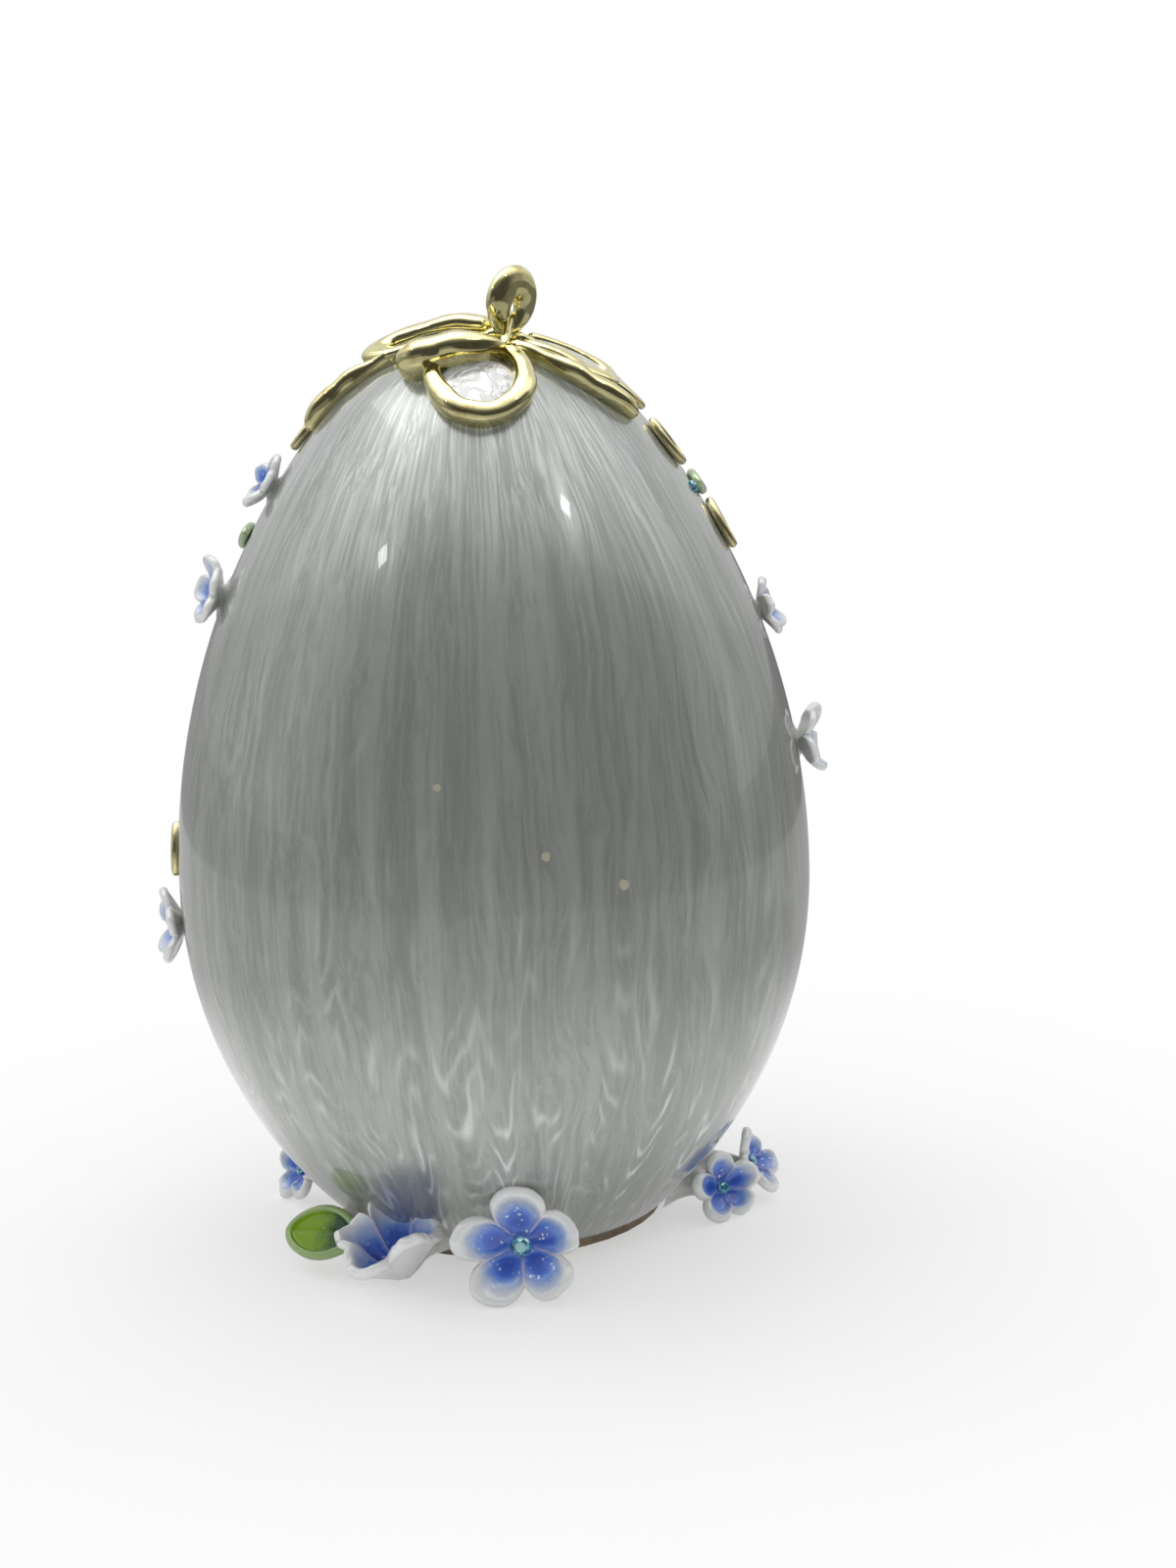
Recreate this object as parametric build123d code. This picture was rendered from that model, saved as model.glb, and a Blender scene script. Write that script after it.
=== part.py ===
from build123d import *
import os
from math import acos, asin, atan2, cos, degrees, radians, sin, sqrt, tan

# Decorative egg standing on enamelled flowers, with a gold ribbon bow on its crown.
# Millimetres, +Z up. The origin lies on the table under the egg's axis and -Y is the plain front.
# Azimuths are in degrees: 0 faces the front (-Y), 90 the right (+X), -90 the left.
# A wall slope is the angle by which the wall's outward normal rises above the table.

# Egg body
egg_radius = 36.5
egg_top = 102.3
widest_height = 41.3
crown_radius = 23.6
base_radius = 19.0
base_lift = 2.1
wall = 2.4
outline_steps = 15

# Hollow and the plate that closes it
hollow_sides = 16
hollow_steps = 5
hollow_low_slope = -44.5
hollow_high_slope = 75.0
opening_radius = 15.5
plate_thickness = 1.0
plate_inset = 0.5
plate_sides = 36

# Joint line under every piece, and how far cutting shapes run past their edges
seat_gap = 0.05
overrun = 1.0

# Flowers
petal_count = 5
petal_reach_share = 0.46
hub_share = 0.24
dish_share = 1.04
pocket_share = 0.74
pocket_floor_share = 0.45
pocket_depth_share = 0.085
foot_petal_sides = 10
garland_petal_sides = 8
foot_petal_thickness = 1.2
garland_petal_thickness = 0.9
garland_cup_slope = 21.0
stalk_radius = 1.7
stalk_sides = 8
foot_flat = 0.15

# Crystals
crystal_sides = 8
crystal_girdle = 0.35
crystal_crown = 0.45
crystal_table_share = 0.55
crystal_radius = 1.15
small_crystal_radius = 0.75

# Leaves
leaf_sides = 10
leaf_length = 9.6
leaf_width = 5.4
leaf_thickness = 1.3
leaf_rim = 0.7
leaf_recess = 0.35
small_leaf_length = 6.4
small_leaf_width = 3.0
small_leaf_thickness = 1.0
small_leaf_rim = 0.45
small_leaf_recess = 0.25

# Bow bands
band_lift = 0.12
band_bevel = 0.4
loop_band_width = 1.6
loop_band_height = 2.8
tail_width = 1.8
tail_height = 1.5
ring_band_width = 2.0
ring_band_height = 1.8
fold_width = 3.0
fold_height = 2.4
knot_width = 3.6
knot_height = 1.5
knot_bevel = 0.6
standing_loop_width = 3.0
standing_loop_thickness = 1.3
standing_loop_half_height = 2.8
standing_loop_half_span = 2.25
standing_loop_turn = 50.0
loop_steps = 8
leg_steps = 3
tail_steps = 5
ring_steps = 10
standing_loop_steps = 10

# Foot flowers: azimuth of the cluster, arc from there along the wall in shares of the big radius, gap
# between hub and wall in shares of its own radius, heading, rise, cup, turn, wall slope that trims the
# petals, height of the lowest point over the table as a share of the base's lift, radius
big_flower_radius = 7.0
side_flower_radius = 5.4
pair_flower_radius = 4.4
foot_flower_shares = {
    "foot_flower_front": (5, 0, 0.65, -3, 5, 22, 4, -33, 0, big_flower_radius),
    "foot_flower_front_left": (5, -2.072, 0.989, -24, 62, 36, 20, -42, 0.6, side_flower_radius),
    "foot_flower_right_front": (80, 0, 1.261, 32, 24, 20, 0, -36, 0, pair_flower_radius),
    "foot_flower_right_rear": (80, 1.035, 1.803, 112, 22, 20, 20, -36, 0.4, pair_flower_radius),
    "foot_flower_left": (-101, 0, 1.163, -62, 26, 20, 10, -36, 0, pair_flower_radius),
    "foot_flower_rear": (176, 0, 0.676, 180, 8, 22, 0, -33, 0, big_flower_radius),
    "foot_flower_rear_right": (176, -2.152, 1.28, 140, 62, 36, 10, -42, 0.6, side_flower_radius),
}

# Foot leaves: azimuth of the cluster, arc from there, gap between middle and wall in shares of the
# leaf's length, height of the middle in shares of its width, heading of the tip, dip, roll
foot_leaf_shares = {
    "foot_leaf_front_left": (5, -3.662, 0.527, 0.815, -118, 8, -48),
    "foot_leaf_rear_left": (176, 1.913, 0.527, 0.815, 137, 8, -48),
}

# Garland: slope of the wall at its top, beside the tips of the bow. From there the places are measured
# along the wall in shares of the flowers' radius: azimuth of the row, aside to the right, down, turn
garland_top_slope = 37.8
garland_flower_radius = 4.7
small_garland_flower_radius = 3.8
garland_flower_shares = {
    "garland_flower_left_top": (-88, 0, 1.69, 0, small_garland_flower_radius),
    "garland_flower_left_upper": (-88, 0.22, 4.569, 20, garland_flower_radius),
    "garland_flower_left_low": (-88, 0, 12.845, 0, garland_flower_radius),
    "garland_flower_right_upper": (86, 1.043, 5.445, 0, small_garland_flower_radius),
    "garland_flower_right_low": (86, 0.655, 8.793, 30, garland_flower_radius),
    "garland_flower_rear_upper": (176, 3.274, 2.754, 0, garland_flower_radius),
    "garland_flower_rear_middle": (176, 0, 5.57, 20, garland_flower_radius),
    "garland_flower_rear_low": (176, -4.797, 7.447, 0, garland_flower_radius),
}

# Garland leaves: azimuth of the row, aside, down, turn of the tip from straight up
garland_leaf_shares = {
    "garland_gold_leaf_left": (-88, 0, 0, 15),
    "garland_green_leaf_left": (-88, -0.495, 3.067, 100),
    "garland_gold_leaf_left_low": (-88, 0, 10.983, 10),
    "garland_gold_leaf_right_top": (86, -0.308, 0.688, 10),
    "garland_green_leaf_right": (86, 0.533, 1.909, 90),
    "garland_gold_leaf_right": (86, 0, 3.004, 170),
    "garland_green_leaf_rear": (176, 1.933, 4.162, 120),
    "garland_gold_leaf_rear": (176, -2.322, 6.571, 60),
}

# Lone crystal beside the green leaf: azimuth of the row, aside, down
garland_stone_shares = (86, -0.444, 1.909)

# Bow loops: plan place of the root, heading, length and half width
bow_centre_shares = (0.15, -0.08)
loop_shares = {
    "bow_left_loop": (0.06, -0.06, 176, 0.50, 0.085),
    "bow_right_loop": (0.24, -0.13, -4, 0.38, 0.10),
    "bow_rear_right_loop": (0.24, 0.10, 4, 0.48, 0.09),
    "bow_rear_left_loop": (0.06, 0.12, 158, 0.46, 0.09),
}
loop_root_share = 0.045

# Bow tails: plan places of the root, the bend and the tip
tail_shares = {
    "bow_left_tail": ((-0.42, -0.21), (-0.60, -0.15), (-0.79, -0.14)),
    "bow_right_tail": ((0.235, -0.315), (0.48, -0.45), (0.71, -0.33)),
    "bow_rear_left_tail": ((0.10, 0.22), (0.04, 0.50), (-0.04, 0.76)),
    "bow_rear_right_tail": ((0.20, 0.22), (0.34, 0.46), (0.40, 0.72)),
}
tail_taper_share = 0.4

# Knot from its rear end to its front end, the fold on its left and the ring in front of it
knot_plan_shares = ((0.15, 0.14), (0.15, -0.08), (0.13, -0.29))
fold_plan_shares = ((0.07, -0.37), (-0.08, -0.52), (-0.29, -0.353))
fold_steps = 6
fold_tip_share = 0.35
ring_centre_shares = (0.033, -0.60)
ring_half_span_shares = (0.197, 0.178)
ring_start_angle = 158.0
ring_end_angle = 394.0
ring_join_shares = (0.14, -0.40)


def upper_belly_radius():
    """Radius of the arc that runs from the crown to the widest height, tangent to both."""
    rise = egg_top - crown_radius - widest_height
    return (rise**2 + egg_radius**2 - crown_radius**2) / (2 * (egg_radius - crown_radius))


def lower_belly_radius():
    """Radius of the arc that runs from the widest height down to the base's edge."""
    draw = egg_radius - base_radius
    return (draw**2 + (widest_height - base_lift) ** 2) / (2 * draw)


def crown_slope():
    """Wall slope where the crown's arc meets the upper belly's."""
    return degrees(atan2(egg_top - crown_radius - widest_height, upper_belly_radius() - egg_radius))


def base_slope():
    """Wall slope at the base's edge."""
    return -degrees(atan2(widest_height - base_lift, lower_belly_radius() - egg_radius + base_radius))


def outline_point(slope, inset=0.0):
    """Distance from the axis and height of the wall at a slope, set in along its normal."""
    if slope > crown_slope():
        radius = crown_radius
        centre = (0, egg_top - crown_radius)
    elif slope > 0:
        radius = upper_belly_radius()
        centre = (egg_radius - radius, widest_height)
    else:
        radius = lower_belly_radius()
        centre = (egg_radius - radius, widest_height)
    reach = radius - inset
    return centre[0] + reach * cos(radians(slope)), centre[1] + reach * sin(radians(slope))


def outward(azimuth, elevation=0.0):
    """Unit vector at an azimuth round the egg and an elevation above the table."""
    level = cos(radians(elevation))
    return Vector(level * sin(radians(azimuth)), -level * cos(radians(azimuth)), sin(radians(elevation)))


def wall_plane(azimuth, slope, turn=0.0):
    """Plane on the wall with Z outward and Y up the wall, turned by an angle about Z."""
    distance, height = outline_point(slope)
    origin = outward(azimuth) * distance + Vector(0, 0, height)
    upright = Plane(origin=origin, x_dir=outward(azimuth + 90), z_dir=outward(azimuth, slope))
    return Plane(upright.location * Rot(0, 0, turn))


def slope_at(height):
    """Wall slope at a height below the widest one."""
    return -degrees(asin((widest_height - height) / lower_belly_radius()))


def beside_wall(azimuth, aside, gap, height):
    """Point out from the underside by a gap, an arc aside from an azimuth."""
    distance = outline_point(slope_at(height))[0] + gap
    return outward(azimuth + degrees(aside / distance)) * distance + Vector(0, 0, height)


def garland_spot(azimuth, aside_share, down_share):
    """Azimuth and wall slope of a place in the garland, measured along the wall from its top."""
    run = garland_flower_radius * down_share
    slope = radians(garland_top_slope)
    bend = radians(crown_slope())
    if slope > bend and run < (slope - bend) * crown_radius:
        slope = slope - run / crown_radius
    else:
        if slope > bend:
            run = run - (slope - bend) * crown_radius
            slope = bend
        below_widest = run - slope * upper_belly_radius()
        slope = -below_widest / (lower_belly_radius() if below_widest > 0 else upper_belly_radius())
    distance = outline_point(degrees(slope))[0]
    return azimuth + degrees(garland_flower_radius * aside_share / distance), degrees(slope)


def skin(rings, closed=False):
    """Solid of flat faces between rings of points, capped unless it closes on itself."""
    faces = []
    for index in range(len(rings) if closed else len(rings) - 1):
        near = rings[index]
        far = rings[(index + 1) % len(rings)]
        for corner in range(len(near)):
            after = (corner + 1) % len(near)
            faces.append(Face(Wire.make_polygon([near[corner], near[after], far[after]])))
            faces.append(Face(Wire.make_polygon([near[corner], far[after], far[corner]])))
    if not closed:
        faces.append(Face(Wire.make_polygon(rings[0][::-1])))
        faces.append(Face(Wire.make_polygon(rings[-1])))
    return Solid(Shell(faces))


def frustum(lower, upper, height, sides):
    """Straight-sided frustum on the table between two polygons, given by the distances to their sides."""
    lean = degrees(atan2(abs(upper - lower), height))
    grown = extrude(RegularPolygon(max(lower, upper), sides, major_radius=False), amount=height, taper=lean)
    return Pos(0, 0, height) * Rot(180, 0, 0) * grown if upper > lower else grown


def egg_shell():
    """Cast shell: the egg turned from tangent arcs, its hollow and the round opening below."""
    turn = (90 - base_slope()) / outline_steps
    side = [outline_point(base_slope() + turn * step) for step in range(outline_steps)]
    section = Polyline((0, base_lift), *side, (0, egg_top), close=True)
    body = revolve(Plane.XZ * make_face(section), axis=Axis.Z)
    turn = (hollow_high_slope - hollow_low_slope) / hollow_steps
    levels = [outline_point(hollow_low_slope + turn * step, wall) for step in range(hollow_steps + 1)]
    share = cos(radians(180 / hollow_sides))
    for (lower, start), (upper, end) in zip(levels, levels[1:]):
        body = body - Pos(0, 0, start) * frustum(lower * share, upper * share, end - start, hollow_sides)
    floor = levels[0][1]
    opening = extrude(RegularPolygon(opening_radius, hollow_sides), amount=floor - base_lift + 2 * overrun)
    return body - Pos(0, 0, base_lift - overrun) * opening


def base_plate():
    """Round plate that closes the opening from below and stays clear of the table."""
    plate = extrude(RegularPolygon(base_radius - plate_inset, plate_sides), amount=plate_thickness)
    return Pos(0, 0, base_lift - seat_gap - plate_thickness) * plate


def flower_cup(radius, cup, turn=0.0):
    """Space inside a flower's petals, over the hub's flat top."""
    hub = radius * hub_share
    dish = radius * dish_share
    return Rot(0, 0, turn) * frustum(hub, dish, (dish - hub) * tan(radians(cup)), petal_count)


def petal_turn(turn):
    """Turn that points a flower's first petal up, and on by its own turn."""
    return 90 + turn - 180 / petal_count


def flower(radius, thickness, cup, turn, sides):
    """Cupped flower of five petals with sunk faces. The hub's top is the origin and +Z is its face."""
    hub = radius * hub_share
    dish = radius * dish_share
    reach = radius * petal_reach_share
    petal = radius - reach
    rise = (dish - hub) * tan(radians(cup))
    rim = extrude(RegularPolygon(dish, petal_count, major_radius=False), amount=thickness)
    bowl = Pos(0, 0, -thickness) * flower_cup(radius, cup) + Pos(0, 0, rise - thickness) * rim
    turns = [Rot(0, 0, 360 / petal_count * (k + 0.5)) for k in range(petal_count)]
    point = Rot(0, 0, 180 / sides)
    outline = Sketch() + [spin * Pos(reach, 0) * point * RegularPolygon(petal, sides) for spin in turns]
    body = bowl - flower_cup(radius, cup)
    body = body & extrude(Pos(0, 0, -thickness) * outline, amount=thickness + rise)
    mouth = petal * pocket_share
    depth = radius * pocket_depth_share
    pocket = Pos(0, 0, -depth) * frustum(mouth * pocket_floor_share, mouth, depth, sides)
    lean = Pos(reach, 0, (reach - hub) * tan(radians(cup))) * Rot(0, -cup, 0) * point
    for spin in turns:
        body = body - spin * lean * pocket
    return Rot(0, 0, petal_turn(turn)) * body


def below(plane):
    """Block that fills the space under a plane."""
    reach = 3 * egg_radius
    return plane.location * Box(reach, reach, reach, align=(Align.CENTER, Align.CENTER, Align.MAX))


def stalk(start, front):
    """Stalk from the back of a piece to the wall beside it, cut flat on the wall and behind its front."""
    azimuth = degrees(atan2(start.X, -start.Y))
    seat = wall_plane(azimuth, slope_at(max(start.Z, base_lift + stalk_radius)))
    run = seat.origin - start
    bar = extrude(RegularPolygon(stalk_radius, stalk_sides), amount=run.length + stalk_radius)
    return Plane(origin=start, z_dir=run).location * bar - front - below(seat.offset(seat_gap))


def foot_flower(azimuth, aside, gap, heading, elevation, cup, turn, trim_slope, lift, radius):
    """Flower that stands beside the egg's underside, with its hub's place."""
    face = outward(heading, elevation)
    side = outward(heading + 90)
    local = flower(radius, foot_petal_thickness, cup, turn, foot_petal_sides)
    lowest = (Plane(origin=(0, 0, 0), x_dir=side, z_dir=face).location * local).bounding_box().min.Z
    height = base_lift * lift - lowest - foot_flat
    hub = beside_wall(azimuth, big_flower_radius * aside, radius * gap, height)
    place = Plane(origin=hub, x_dir=side, z_dir=face)
    front = place.location * flower_cup(radius, cup, petal_turn(turn))
    wall_side = wall_plane(degrees(atan2(hub.X, -hub.Y)), trim_slope).offset(seat_gap)
    back = hub - face * (foot_petal_thickness / 2)
    body = place.location * local - below(wall_side) + stalk(back, front) - below(Plane.XY)
    return body.solids().sort_by(SortBy.VOLUME)[-1], place


def leaf(length, width, thickness, rim, recess):
    """Pointed leaf along X with a raised rim round its sunk face, its back on the XY plane."""
    def blade(inset):
        turns = [360 / leaf_sides * k for k in range(leaf_sides)]
        half = (length / 2 - inset, width / 2 - inset)
        corners = [(half[0] * cos(radians(turn)), half[1] * sin(radians(turn))) for turn in turns]
        return make_face(Polyline(*corners, close=True))

    sunk = Pos(0, 0, thickness - recess) * blade(rim)
    return extrude(blade(0), amount=thickness) - extrude(sunk, amount=recess + overrun)


def foot_leaf(azimuth, aside, gap, height, heading, dip, roll):
    """Leaf that springs from the egg's underside and dips to its tip."""
    middle = beside_wall(azimuth, big_flower_radius * aside, leaf_length * gap, leaf_width * height)
    level = Plane(origin=middle, x_dir=outward(heading, -dip), z_dir=outward(heading, 90 - dip))
    place = Plane(level.location * Rot(roll, 0, 0))
    face = place.offset(leaf_thickness - leaf_recess)
    front = face.location * extrude(Circle(leaf_length), amount=leaf_length)
    blade = place.location * leaf(leaf_length, leaf_width, leaf_thickness, leaf_rim, leaf_recess)
    body = blade + stalk(middle + place.z_dir * (leaf_thickness / 2), front) - below(Plane.XY)
    return body.solids().sort_by(SortBy.VOLUME)[-1]


def garland_flower(azimuth, aside, down, turn, radius):
    """Flower whose hub sits flat on the wall, with its hub's place."""
    place = wall_plane(*garland_spot(azimuth, aside, down)).offset(seat_gap + garland_petal_thickness)
    blossom = flower(radius, garland_petal_thickness, garland_cup_slope, turn, garland_petal_sides)
    return place.location * blossom, place


def garland_leaf(azimuth, aside, down, turn):
    """Small leaf that lies flat on the wall."""
    blade = leaf(
        small_leaf_length, small_leaf_width, small_leaf_thickness, small_leaf_rim, small_leaf_recess
    )
    place = wall_plane(*garland_spot(azimuth, aside, down), turn + 90)
    return place.offset(seat_gap).location * blade


def crystal(radius):
    """Faceted rhinestone: a straight girdle, a bevelled crown and a flat table."""
    flat = radius * cos(radians(180 / crystal_sides))
    girdle = extrude(RegularPolygon(radius, crystal_sides), amount=crystal_girdle)
    crown = frustum(flat, flat * crystal_table_share, crystal_crown, crystal_sides)
    return Pos(0, 0, seat_gap) * (girdle + Pos(0, 0, crystal_girdle) * crown)


def on_crown(plan, lift=0.0):
    """Point over the wall whose normal has a plan direction in shares of 1, lifted along that normal."""
    azimuth = degrees(atan2(plan[0], -plan[1]))
    distance, height = outline_point(degrees(acos(sqrt(plan[0] ** 2 + plan[1] ** 2))), -lift)
    return outward(azimuth) * distance + Vector(0, 0, height)


def band_section(width, low, high, bevel):
    """Corners of a band's section: distance to the side and height over the seat."""
    half = width / 2
    inner = half - bevel
    shoulder = high - bevel
    return [(half, low), (-half, low), (-half, shoulder), (-inner, high), (inner, high), (half, shoulder)]


def band(path, widths, height, bevel):
    """Gold band with two bevelled edges that follows plan places over the crown."""
    rings = []
    for index, plan in enumerate(path):
        after = path[min(index + 1, len(path) - 1)]
        before = path[max(index - 1, 0)]
        up = on_crown(plan, crown_radius) - on_crown(plan)
        side = (on_crown(after) - on_crown(before)).cross(up).normalized()
        section = band_section(widths[index], band_lift, height, bevel)
        rings.append([on_crown(plan, rise) + side * across for across, rise in section])
    return skin(rings)


def curve(start, bend, tip, steps):
    """Plan places from a start to a tip, drawn towards a bend between them."""
    places = []
    for step in range(steps + 1):
        share = step / steps
        pull = 2 * share * (1 - share)
        places.append(tuple(
            (1 - share) ** 2 * a + pull * b + share**2 * c for a, b, c in zip(start, bend, tip)
        ))
    return places


def bow_loop(x, y, heading, length, half_width):
    """Teardrop loop of ribbon: two legs that leave the knot apart and a round outer end."""
    middle = length - half_width
    lean = degrees(atan2(half_width - loop_root_share, middle))
    round_end = []
    for step in range(loop_steps + 1):
        angle = radians(90 + lean - (180 + 2 * lean) * step / loop_steps)
        round_end.append((middle + half_width * cos(angle), half_width * sin(angle)))
    knee = round_end[0]
    leg = []
    for step in range(leg_steps):
        share = step / leg_steps
        leg.append((knee[0] * share, loop_root_share + (knee[1] - loop_root_share) * share))
    local = leg + round_end + [(a, -b) for a, b in leg[::-1]]
    along = (cos(radians(heading)), sin(radians(heading)))
    path = [(x + a * along[0] - b * along[1], y + a * along[1] + b * along[0]) for a, b in local]
    return band(path, [loop_band_width] * len(path), loop_band_height, band_bevel)


def bow_tail(root, bend, tip):
    """Ribbon end that runs down the crown and narrows to its tip."""
    path = curve(root, bend, tip, tail_steps)
    widths = [tail_width * (1 - tail_taper_share * step / tail_steps) for step in range(tail_steps + 1)]
    return band(path, widths, tail_height, band_bevel)


def bow_fold():
    """Leaf-shaped fold of ribbon on the left of the knot's front end."""
    path = curve(*fold_plan_shares, fold_steps)
    swell = [sin(radians(180 * step / fold_steps)) for step in range(fold_steps + 1)]
    widths = [fold_width * (fold_tip_share + (1 - fold_tip_share) * share) for share in swell]
    return band(path, widths, fold_height, band_bevel)


def bow_ring():
    """Open ring of ribbon that starts under the fold and runs round the bottom up to the knot."""
    path = []
    for step in range(ring_steps + 1):
        angle = radians(ring_start_angle + (ring_end_angle - ring_start_angle) * step / ring_steps)
        path.append((
            ring_centre_shares[0] + ring_half_span_shares[0] * cos(angle),
            ring_centre_shares[1] + ring_half_span_shares[1] * sin(angle),
        ))
    path.append(ring_join_shares)
    return band(path, [ring_band_width] * len(path), ring_band_height, band_bevel)


def bow_knot():
    """Low knot that the loops, the fold and the ring spring from."""
    path = curve(*knot_plan_shares, tail_steps)
    return band(path, [knot_width] * len(path), knot_height, knot_bevel)


def standing_loop():
    """Closed loop of ribbon that stands on edge on the knot."""
    up = on_crown(bow_centre_shares, crown_radius) - on_crown(bow_centre_shares)
    up = up.normalized()
    across = Vector(cos(radians(standing_loop_turn)), sin(radians(standing_loop_turn)), 0)
    face = across.cross(up).normalized()
    foot = standing_loop_half_height * cos(radians(180 / standing_loop_steps))
    centre = on_crown(bow_centre_shares, knot_height + seat_gap + standing_loop_thickness / 2 + foot)
    section = band_section(
        standing_loop_width, -standing_loop_thickness / 2, standing_loop_thickness / 2, band_bevel
    )
    rings = []
    for step in range(standing_loop_steps):
        angle = radians(360 / standing_loop_steps * (step + 0.5) - 90)
        aside = across * (standing_loop_half_span * cos(angle))
        spot = centre + aside + up * (standing_loop_half_height * sin(angle))
        out = across * cos(angle) + up * sin(angle)
        rings.append([spot + face * side + out * rise for side, rise in section])
    return skin(rings, closed=True)


def write(name, shape):
    """Write one piece to its own file."""
    shape.label = name
    export_step(shape, f"parts/{name}.step")


def build():
    os.makedirs("parts", exist_ok=True)
    write("egg_shell", egg_shell())
    write("base_plate", base_plate())
    foot_stones = []
    for name, values in foot_flower_shares.items():
        solid, place = foot_flower(*values)
        write(name, solid)
        stone = crystal_radius if values[-1] > pair_flower_radius else small_crystal_radius
        foot_stones.append(place.location * crystal(stone))
    write("foot_crystals", Compound(foot_stones))
    for name, values in foot_leaf_shares.items():
        write(name, foot_leaf(*values))
    garland_stones = []
    for name, values in garland_flower_shares.items():
        solid, place = garland_flower(*values)
        write(name, solid)
        garland_stones.append(place.location * crystal(small_crystal_radius))
    lone_place = wall_plane(*garland_spot(*garland_stone_shares))
    garland_stones.append(lone_place.location * crystal(small_crystal_radius))
    write("garland_crystals", Compound(garland_stones))
    for name, values in garland_leaf_shares.items():
        write(name, garland_leaf(*values))
    for name, values in loop_shares.items():
        write(name, bow_loop(*values))
    for name, values in tail_shares.items():
        write(name, bow_tail(*values))
    write("bow_knot", bow_knot())
    write("bow_fold", bow_fold())
    write("bow_ring", bow_ring())
    write("bow_standing_loop", standing_loop())


build()
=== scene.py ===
# %% [markdown]
# # A decorative egg that stands on enamelled flowers
# The object is a cast metal egg under pearl-white enamel. Small five-petalled flowers carry it and run
# up its sides, and a gold ribbon bow lies over its crown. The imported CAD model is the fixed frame:
# every piece below is made at the place that the CAD gives it, in metres, with +Z up and the front
# towards -Y.

# %% Load the frame
from functools import partialmethod
from math import asin, atan2, cos, degrees, pi, radians, sin, sqrt

import bmesh
import bpy
from mathutils import Matrix, Vector


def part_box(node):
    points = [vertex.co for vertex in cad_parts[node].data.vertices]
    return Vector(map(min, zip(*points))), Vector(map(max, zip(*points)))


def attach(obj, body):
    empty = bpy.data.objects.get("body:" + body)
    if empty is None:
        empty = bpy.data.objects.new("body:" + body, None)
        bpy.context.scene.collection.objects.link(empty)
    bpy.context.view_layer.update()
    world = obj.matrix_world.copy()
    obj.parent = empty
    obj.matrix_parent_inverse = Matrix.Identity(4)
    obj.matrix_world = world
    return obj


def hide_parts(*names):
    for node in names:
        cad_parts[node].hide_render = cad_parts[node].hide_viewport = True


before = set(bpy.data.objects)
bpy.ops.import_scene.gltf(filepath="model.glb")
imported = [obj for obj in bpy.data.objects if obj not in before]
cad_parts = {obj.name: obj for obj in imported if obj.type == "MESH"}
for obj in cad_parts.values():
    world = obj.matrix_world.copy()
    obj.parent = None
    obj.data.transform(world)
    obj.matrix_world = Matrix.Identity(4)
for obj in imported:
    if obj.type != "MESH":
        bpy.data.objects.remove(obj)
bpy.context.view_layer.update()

# %% [markdown]
# ## The sizes of the egg
# The egg's outline is three arcs that run into each other without a kink: the crown, the upper belly
# and the lower belly. The same few lengths that drive the CAD drive the surface here, so a place on
# the wall can be asked for by its azimuth round the egg and the slope of the wall's normal.

# %% Sizes of the egg and places on its wall
MM = 0.001
egg_radius = 36.5 * MM
egg_top = 102.3 * MM
widest_height = 41.3 * MM
crown_radius = 23.6 * MM
base_radius = 19.0 * MM
base_lift = 2.1 * MM
opening_radius = 15.5 * MM
crown_centre = Vector((0, 0, egg_top - crown_radius))

rise = egg_top - crown_radius - widest_height
upper_radius = (rise**2 + egg_radius**2 - crown_radius**2) / (2 * (egg_radius - crown_radius))
draw = egg_radius - base_radius
lower_radius = (draw**2 + (widest_height - base_lift) ** 2) / (2 * draw)
crown_slope = atan2(rise, upper_radius - egg_radius)
base_slope = -atan2(widest_height - base_lift, lower_radius - draw)
print("belly arcs (mm):", round(upper_radius / MM, 2), round(lower_radius / MM, 2))


def outline_point(slope):
    """Distance from the axis and height of the wall where its normal rises by slope degrees."""
    angle = radians(slope)
    if angle > crown_slope:
        return crown_radius * cos(angle), crown_centre.z + crown_radius * sin(angle)
    arc = upper_radius if angle > 0 else lower_radius
    return egg_radius - arc + arc * cos(angle), widest_height + arc * sin(angle)


def outward(azimuth, elevation=0.0):
    """Unit vector at an azimuth round the egg, 0 at the front and 90 at the right."""
    level = cos(radians(elevation))
    return Vector((level * sin(radians(azimuth)), -level * cos(radians(azimuth)), sin(radians(elevation))))


def on_wall(azimuth, slope, lift=0.0):
    """Point on the egg's wall, lifted along its normal."""
    distance, height = outline_point(slope)
    return outward(azimuth) * distance + Vector((0, 0, height)) + outward(azimuth, slope) * lift


def on_crown(plan, lift=0.0):
    """Point over the crown at a plan place in shares of its radius, lifted along its normal."""
    normal = Vector((plan[0], plan[1], sqrt(1 - plan[0] ** 2 - plan[1] ** 2)))
    return crown_centre + normal * (crown_radius + lift)


def placed(origin, x_dir, z_dir):
    """Matrix of a place with its own X and Z directions."""
    z_axis = z_dir.normalized()
    x_axis = (x_dir - z_axis * x_dir.dot(z_axis)).normalized()
    axes = Matrix((x_axis, z_axis.cross(x_axis), z_axis)).transposed().to_4x4()
    return Matrix.Translation(origin) @ axes


# %% [markdown]
# ## The camera
# The photograph looks a little down on the egg from the front, and the camera was held almost
# straight, 1.6 degrees off the level. The direction, the distance and the lens come from the egg's
# own outline in the picture.

# %% Camera
def add_object(name, data):
    """New object with this data, in the scene."""
    made = bpy.data.objects.new(name, data)
    bpy.context.scene.collection.objects.link(made)
    return made


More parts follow.
